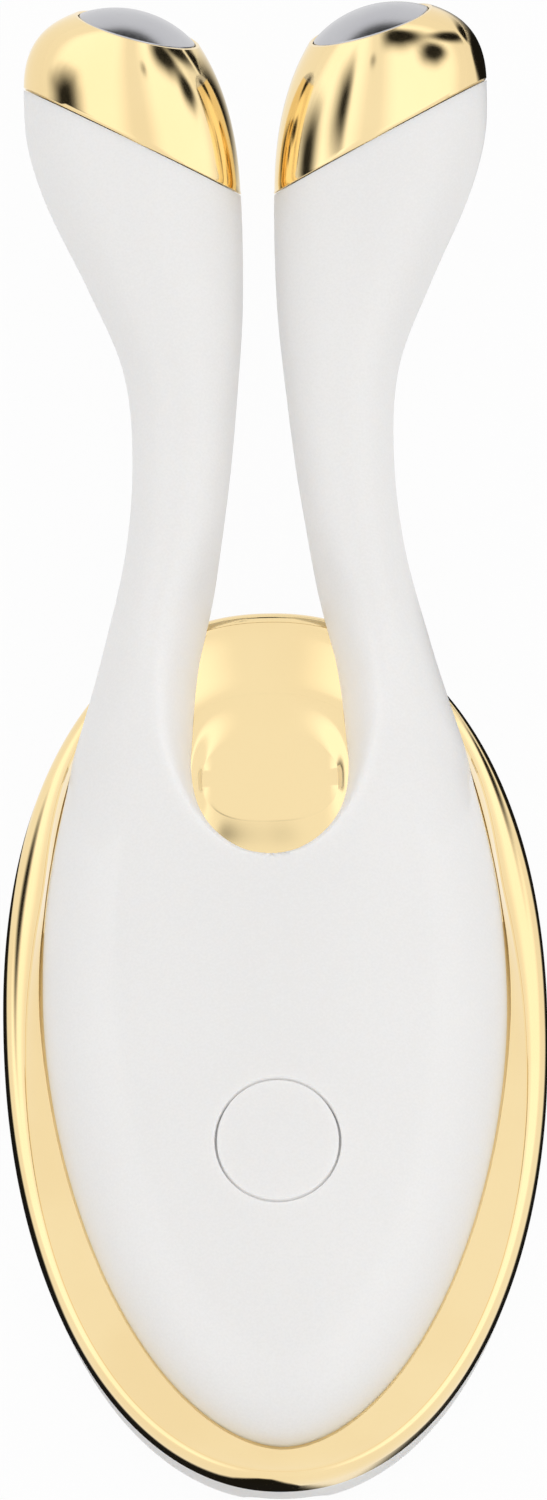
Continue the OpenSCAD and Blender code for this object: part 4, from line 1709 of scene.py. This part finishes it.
class Inner(Enum):
    """Finishes of the pieces inside, and the nodes that take each."""

    SILICONE = (Moulded("grey_silicone", (0.42, 0.42, 0.43), (0.34, 0.34, 0.35), 0.55),
                ("seam_gasket", "electrode_gasket_left", "electrode_gasket_right", "battery_pad"))
    PLUG = (Moulded("white_silicone", (0.74, 0.735, 0.73), (0.68, 0.675, 0.67), 0.5),
            ("screw_plugs",))
    BOARD = (Moulded("solder_mask", (0.03, 0.22, 0.1), (0.02, 0.15, 0.07), 0.3, 0, 700),
             ("main_board", "charge_board"))
    DARK = (Moulded("dark_package", (0.03, 0.03, 0.035), (0.02, 0.02, 0.022), 0.5),
            ("board_parts", "switch_plunger"))
    PLATED = (Moulded("plated_metal", (0.62, 0.61, 0.59), (0.5, 0.49, 0.48), 0.22, 1.0, 2200),
              ("switch_body", "usb_c_port", "housing_screws", "board_screws", "motor_can",
               "motor_shaft", "electrode_nut_left", "electrode_nut_right"))
    SLEEVE = (Moulded("lead_sleeve", (0.45, 0.03, 0.03), (0.36, 0.02, 0.02), 0.4),
              ("electrode_lead_left", "electrode_lead_right"))
    FILM = (Moulded("battery_film", (0.3, 0.36, 0.45), (0.24, 0.3, 0.38), 0.28, 0.0, 300),
            ("battery",))
    WEIGHT = (Moulded("sintered_weight", (0.3, 0.29, 0.28), (0.22, 0.21, 0.2), 0.35, 1.0, 1800),
              ("eccentric_weight",))
    CRADLE = (Moulded("cradle_plastic", (0.1, 0.1, 0.11), (0.07, 0.07, 0.08), 0.5),
              ("motor_cradle",))

    @staticmethod
    def dress() -> None:
        """Gives every piece inside its finish."""
        for entry in Inner:
            finish, names = entry.value
            made = finish.material()
            for name in names:
                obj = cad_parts[name]
                obj.data.materials.clear()
                obj.data.materials.append(made)
                LOG.info("%s: %s", name, finish.name)


# Studio

@dataclass(frozen=True)
class Card:
    """A soft-edged card, dark or bright, that only polished metal sees."""

    name: str
    centre: Triple
    size: Pair
    level: float = 0.01
    soft: float = 0.5
    along: Triple = (0, 0, 1)
    aim: Triple = (0, 30, 20)
    ragged: float = 0.0
    one_sided: bool = False
    patches: float = 2.5

    def build(self) -> bpy.types.Object:
        """Builds the card, its height along one direction and its face towards its aim.

        Returns:
            The card.
        """
        shape = Shape()
        w, h = self.size[0] / 2, self.size[1] / 2
        shape.faces.append(tuple(shape.row([(-w, -h, 0), (w, -h, 0), (w, h, 0), (-w, h, 0)])))
        made = bpy.data.materials.new(self.name)
        n = Nodes(made)
        flat = n.node("ShaderNodeVectorMath", {"operation": "DIVIDE"},
                      {0: n.spot(), 1: (w * MM, h * MM, 1.0)}).outputs[0]
        reach = Value(n, n.node("ShaderNodeVectorMath", {"operation": "LENGTH"},
                                {0: flat}).outputs[1])
        # Noise that makes the soft edge of the card, and so of its reflection, ragged
        edge_fade = (n.noise(self.patches / (self.size[1] * MM)) - 0.5) * self.ragged
        clear = n.step(reach + edge_fade, 1 - self.soft, 1.0)
        if self.one_sided:
            behind = n.node("ShaderNodeNewGeometry", {}, {}).outputs["Backfacing"]
            clear = n.maths("MAXIMUM", clear, Value(n, behind))
        n.ends(n.fade(clear, self.level))
        obj = shape.build(self.name, made)
        spot, aim = Vector(self.centre), Vector(self.aim)
        z_axis = (aim - spot).normalized()
        x_axis = Vector(self.along).cross(z_axis).normalized()
        turn = Matrix((x_axis, z_axis.cross(x_axis), z_axis)).transposed().to_4x4()
        obj.matrix_world = Matrix.Translation(spot * MM) @ turn
        only_metal_sees(obj)
        return obj


def only_metal_sees(obj: bpy.types.Object) -> None:
    """Hides a stage object from all rays but reflections.

    Args:
        obj: The object.
    """
    obj.visible_camera = obj.visible_diffuse = False
    obj.visible_transmission = obj.visible_shadow = obj.visible_volume_scatter = False


@dataclass
class Surround:
    """A dark border on the floor round the bezel that only polished metal sees."""

    near: float = 0.3
    reach: Edge = Edge(((-90, 14), (-87, 4), (-60, 4), (-45, 5), (-20, 16), (0, 26), (20, 40),
                        (40, 70), (55, 40), (70, 1), (140, 1), (150, 12), (160, 45), (180, 45),
                        (200, 30), (215, 12), (230, 8), (252, 8), (260, 16), (264, 44), (268, 40),
                        (270, 14)))
    least: float = 1.0
    shares: tuple[Pair, ...] = ((0, 0), (0.6, 0), (0.8, 0.5), (1, 1))
    height: float = 0.5
    degrees: int = 3
    level: float = 0.01

    def ring(self, share: float) -> list[Point]:
        """Ring of the border.

        Args:
            share: Share of its width, from the bezel outwards.

        Returns:
            The ring's points.
        """
        oval, points = Oval(), []
        for a in range(-90, 271, self.degrees):
            far = self.near + max(self.least, self.reach.at(a))
            points.append((*oval.inside(a, -mix(self.near, far, share)), self.height))
        return points

    def build(self) -> bpy.types.Object:
        """Builds the border, with its fade kept at its points.

        Returns:
            The border.
        """
        shape, rows = Shape(), [self.ring(share) for share, _ in self.shares]
        shape.loft(rows, closed=False)
        made = bpy.data.materials.new("dark_surround")
        n = Nodes(made)
        # The border's fade, from dark by the bezel to clear outwards; seen only in reflections, it
        # gives the bezel's outer edge its dark reflection
        edge_fade = n.node("ShaderNodeAttribute", {"attribute_name": "edge_fade"}, {}).outputs["Fac"]
        n.ends(n.fade(Value(n, edge_fade), self.level))
        obj = shape.build("dark_surround", made)
        edge_fade_at = obj.data.attributes.new("edge_fade", "FLOAT", "POINT")
        for v in obj.data.vertices:
            edge_fade_at.data[v.index].value = self.shares[v.index // len(rows[0])][1]
        only_metal_sees(obj)
        return obj


@dataclass
class Wrap:
    """A bright collar close round the white body that only the gold slope sees."""

    plan: BodyPlan = field(default_factory=BodyPlan)
    insets: tuple[float, ...] = (0, 0.02, 0.06, 0.15, 0.3, 0.6, 1, 1.6, 2.5, 4, 8)
    away: float = 0.2
    top_y: float = 40.0
    level: float = 1.0
    side_steps: int = 24
    steps: int = 60

    def row(self, inset: float) -> list[Vector]:
        """Half a ring of the collar, from its upper end round to the middle of the tail.

        Args:
            inset: Distance inside the white body's outline.

        Returns:
            The points, just off the body.
        """
        p, side = self.plan, []
        for i in range(self.side_steps):
            y = mix(self.top_y, p.mid_y, i / self.side_steps)
            x = p.half_at(y) - inset
            side.append((Vector((x, y)), Vector((x + self.away, y))))
        for i in range(self.steps + 1):
            a = 90 * i / self.steps
            side.append((p.body_edge(a, inset), p.body_edge(a, inset - self.away)))
        return [Vector((spot.x, spot.y, p.top(seen.x, seen.y) + self.away))
                for seen, spot in side]

    def build(self) -> bpy.types.Object:
        """Builds the collar, from the foot of the white body upwards.

        Returns:
            The collar.
        """
        shape = Shape()
        shape.loft([self.row(inset) for inset in self.insets], closed=False)
        shape.mirrored()
        made = bpy.data.materials.new("bright_collar")
        nodes = Nodes(made)
        nodes.ends(nodes.fade(0.0, self.level))
        obj = shape.build("bright_collar", made)
        only_metal_sees(obj)
        return obj


@dataclass
class Studio:
    """Floor, sky, lamps, cards and the camera."""

    elevation: float = 72.0
    roll: float = 1.24
    target: Triple = (0.44, 30.18, 18.0)
    distance: float = 2500.0
    frame_height: float = 165.0
    fill: float = 0.96
    floor_shadow: float = 0.06
    floor_grey: float = 0.82
    floor_half: float = 4000.0
    sensor: float = 36.0
    clip_end: float = 20.0
    key: float = 1.0
    key_size: Pair = (1.2, 1.6)
    key_spot: Triple = (800, 150, 900)
    key_aim: Triple = (0, 20, 15)
    cards: tuple[Card, ...] = (
        Card("card_slant", (365, 300, 120), (150, 540), soft=0.7,
             along=(0, -0.26, 0.966), aim=(5, 104, 39)),
        Card("card_slant_floor", (110, 176, 0.6), (60, 230),
             along=(0.83, 0.56, 0), aim=(110, 176, 9)),
        Card("card_heads_floor", (80, 131, 0.6), (190, 56),
             along=(-0.24, 0.97, 0), aim=(80, 131, 9)),
        Card("card_core_left", (33.2, 110.2, 79.6), (30, 68), soft=0.7, ragged=0.3,
             along=(0.55, 0.45, -0.7), aim=(-11, 104, 39.5)),
        Card("card_core_right", (66.7, 105.6, 75.5), (28, 50), soft=0.7, ragged=0.3,
             along=(0.46, 0.57, -0.68), aim=(19.5, 104, 38.5)),
        Card("card_side", (-126, 74, 88), (84, 130), soft=0.85, ragged=0.5,
             along=(0.42, -0.81, 0.42), aim=(-21, 101, 37)),
        Card("card_streak", (-5, 90, 62), (32, 34), soft=0.9, ragged=0.3,
             along=(0.1, -0.7, 0.3), aim=(5, 90, 62), one_sided=True),
        Card("card_notch", (6, 82.6, 115.4), (16, 18), level=0.35, soft=1.0, aim=(-3.8, 22, 12)),
        Card("card_notch_light", (8.3, 36.4, 29.3), (18, 18), level=1.0, soft=0.4,
             aim=(-8.3, 28.7, 12.3)),
        Card("card_front", (0, 162, 57), (100, 42), aim=(0, 112, 38)),
        Card("softbox_left", (-620, 0, 700), (1500, 2600), 1.3, 0.5, (0, 1, 0)),
        Card("softbox_right", (620, 0, 700), (1500, 2600), 1.3, 0.5, (0, 1, 0)),
    )

    def camera(self) -> None:
        """Adds the camera at the photograph's angle."""
        e, r = math.radians(self.elevation), math.radians(self.roll)
        look = Vector((0, math.cos(e), -math.sin(e)))
        up, right = Vector((0, math.sin(e), math.cos(e))), Vector((1, 0, 0))
        x_axis = math.cos(r) * right - math.sin(r) * up
        y_axis = math.sin(r) * right + math.cos(r) * up
        data = bpy.data.cameras.new("camera")
        data.sensor_width = self.sensor
        data.lens = self.sensor * self.distance / self.frame_height
        data.clip_end = self.clip_end
        obj = bpy.data.objects.new("camera", data)
        spot = (Vector(self.target) - self.distance * look) * MM
        turn = Matrix((x_axis, y_axis, -look)).transposed().to_4x4()
        obj.matrix_world = Matrix.Translation(spot) @ turn
        bpy.context.scene.collection.objects.link(obj)
        bpy.context.scene.camera = obj

    def sky(self) -> None:
        """White for the camera and reflections, a soft fill for the rest."""
        world = bpy.data.worlds.new("sky")
        bpy.context.scene.world = world
        n = Nodes(world)
        rays = n.node("ShaderNodeLightPath", {}, {}).outputs
        seen = n.maths("MAXIMUM", n.maths("MAXIMUM", Value(n, rays["Is Camera Ray"]),
                                          Value(n, rays["Is Glossy Ray"])),
                       Value(n, rays["Is Transmission Ray"]))
        dim = n.node("ShaderNodeBackground", {}, {"Color": (1, 1, 1), "Strength": self.fill})
        white = n.node("ShaderNodeBackground", {}, {"Color": (1, 1, 1), "Strength": 1.0})
        mixed = n.node("ShaderNodeMixShader", {}, {0: seen, 1: dim.outputs[0], 2: white.outputs[0]})
        n.ends(mixed.outputs[0], "ShaderNodeOutputWorld")

    def floor(self) -> None:
        """A plain white floor that keeps a trace of the shadow."""
        made = bpy.data.materials.new("studio_floor")
        n = Nodes(made)
        rays = n.node("ShaderNodeLightPath", {}, {}).outputs
        seen = n.maths("MAXIMUM", Value(n, rays["Is Camera Ray"]), Value(n, rays["Is Glossy Ray"]))
        paint = n.node("ShaderNodeBsdfDiffuse", {}, {"Color": (self.floor_grey,) * 3})
        glow = n.node("ShaderNodeEmission", {}, {"Color": (1, 1, 1), "Strength": 1.0})
        mixed = n.node("ShaderNodeMixShader", {}, {
            0: seen * (1 - self.floor_shadow), 1: paint.outputs[0], 2: glow.outputs[0]})
        n.ends(mixed.outputs[0])
        shape = Shape()
        w = self.floor_half
        shape.faces.append(tuple(shape.row([(-w, -w, 0), (w, -w, 0), (w, w, 0), (-w, w, 0)])))
        shape.build("studio_floor", made)

    def lamps(self) -> None:
        """One broad soft lamp overhead, a little to the right."""
        data = bpy.data.lights.new("soft_key", "AREA")
        data.shape, (data.size, data.size_y) = "RECTANGLE", self.key_size
        data.energy = self.key
        obj = bpy.data.objects.new("soft_key", data)
        spot = Vector(self.key_spot) * MM
        look = (Vector(self.key_aim) * MM - spot).normalized()
        turn = look.to_track_quat("-Z", "Y").to_matrix().to_4x4()
        obj.matrix_world = Matrix.Translation(spot) @ turn
        obj.visible_glossy = False
        bpy.context.scene.collection.objects.link(obj)

    def build(self) -> None:
        """Builds the studio."""
        self.camera()
        self.sky()
        self.floor()
        self.lamps()
        Surround().build()
        Wrap().build()
        for card in self.cards:
            card.build()
        bpy.context.scene.view_settings.view_transform = "Standard"


def main() -> None:
    """Builds the pieces in order, dresses them and sets up the studio."""
    logging.basicConfig(level=logging.INFO, format="%(name)s: %(message)s")
    white, gold = SatinWhite().material(), MirrorGold().material()
    steel = PolishedSteel().material()
    FrontShell().build(white)
    ArmBack().build(white)
    PowerButton().build(white)
    Bezel().build(gold)
    RearShell().build(white)
    Head().build(gold, steel)
    Inner.dress()
    Studio().build()


if __name__ == "__main__":
    main()
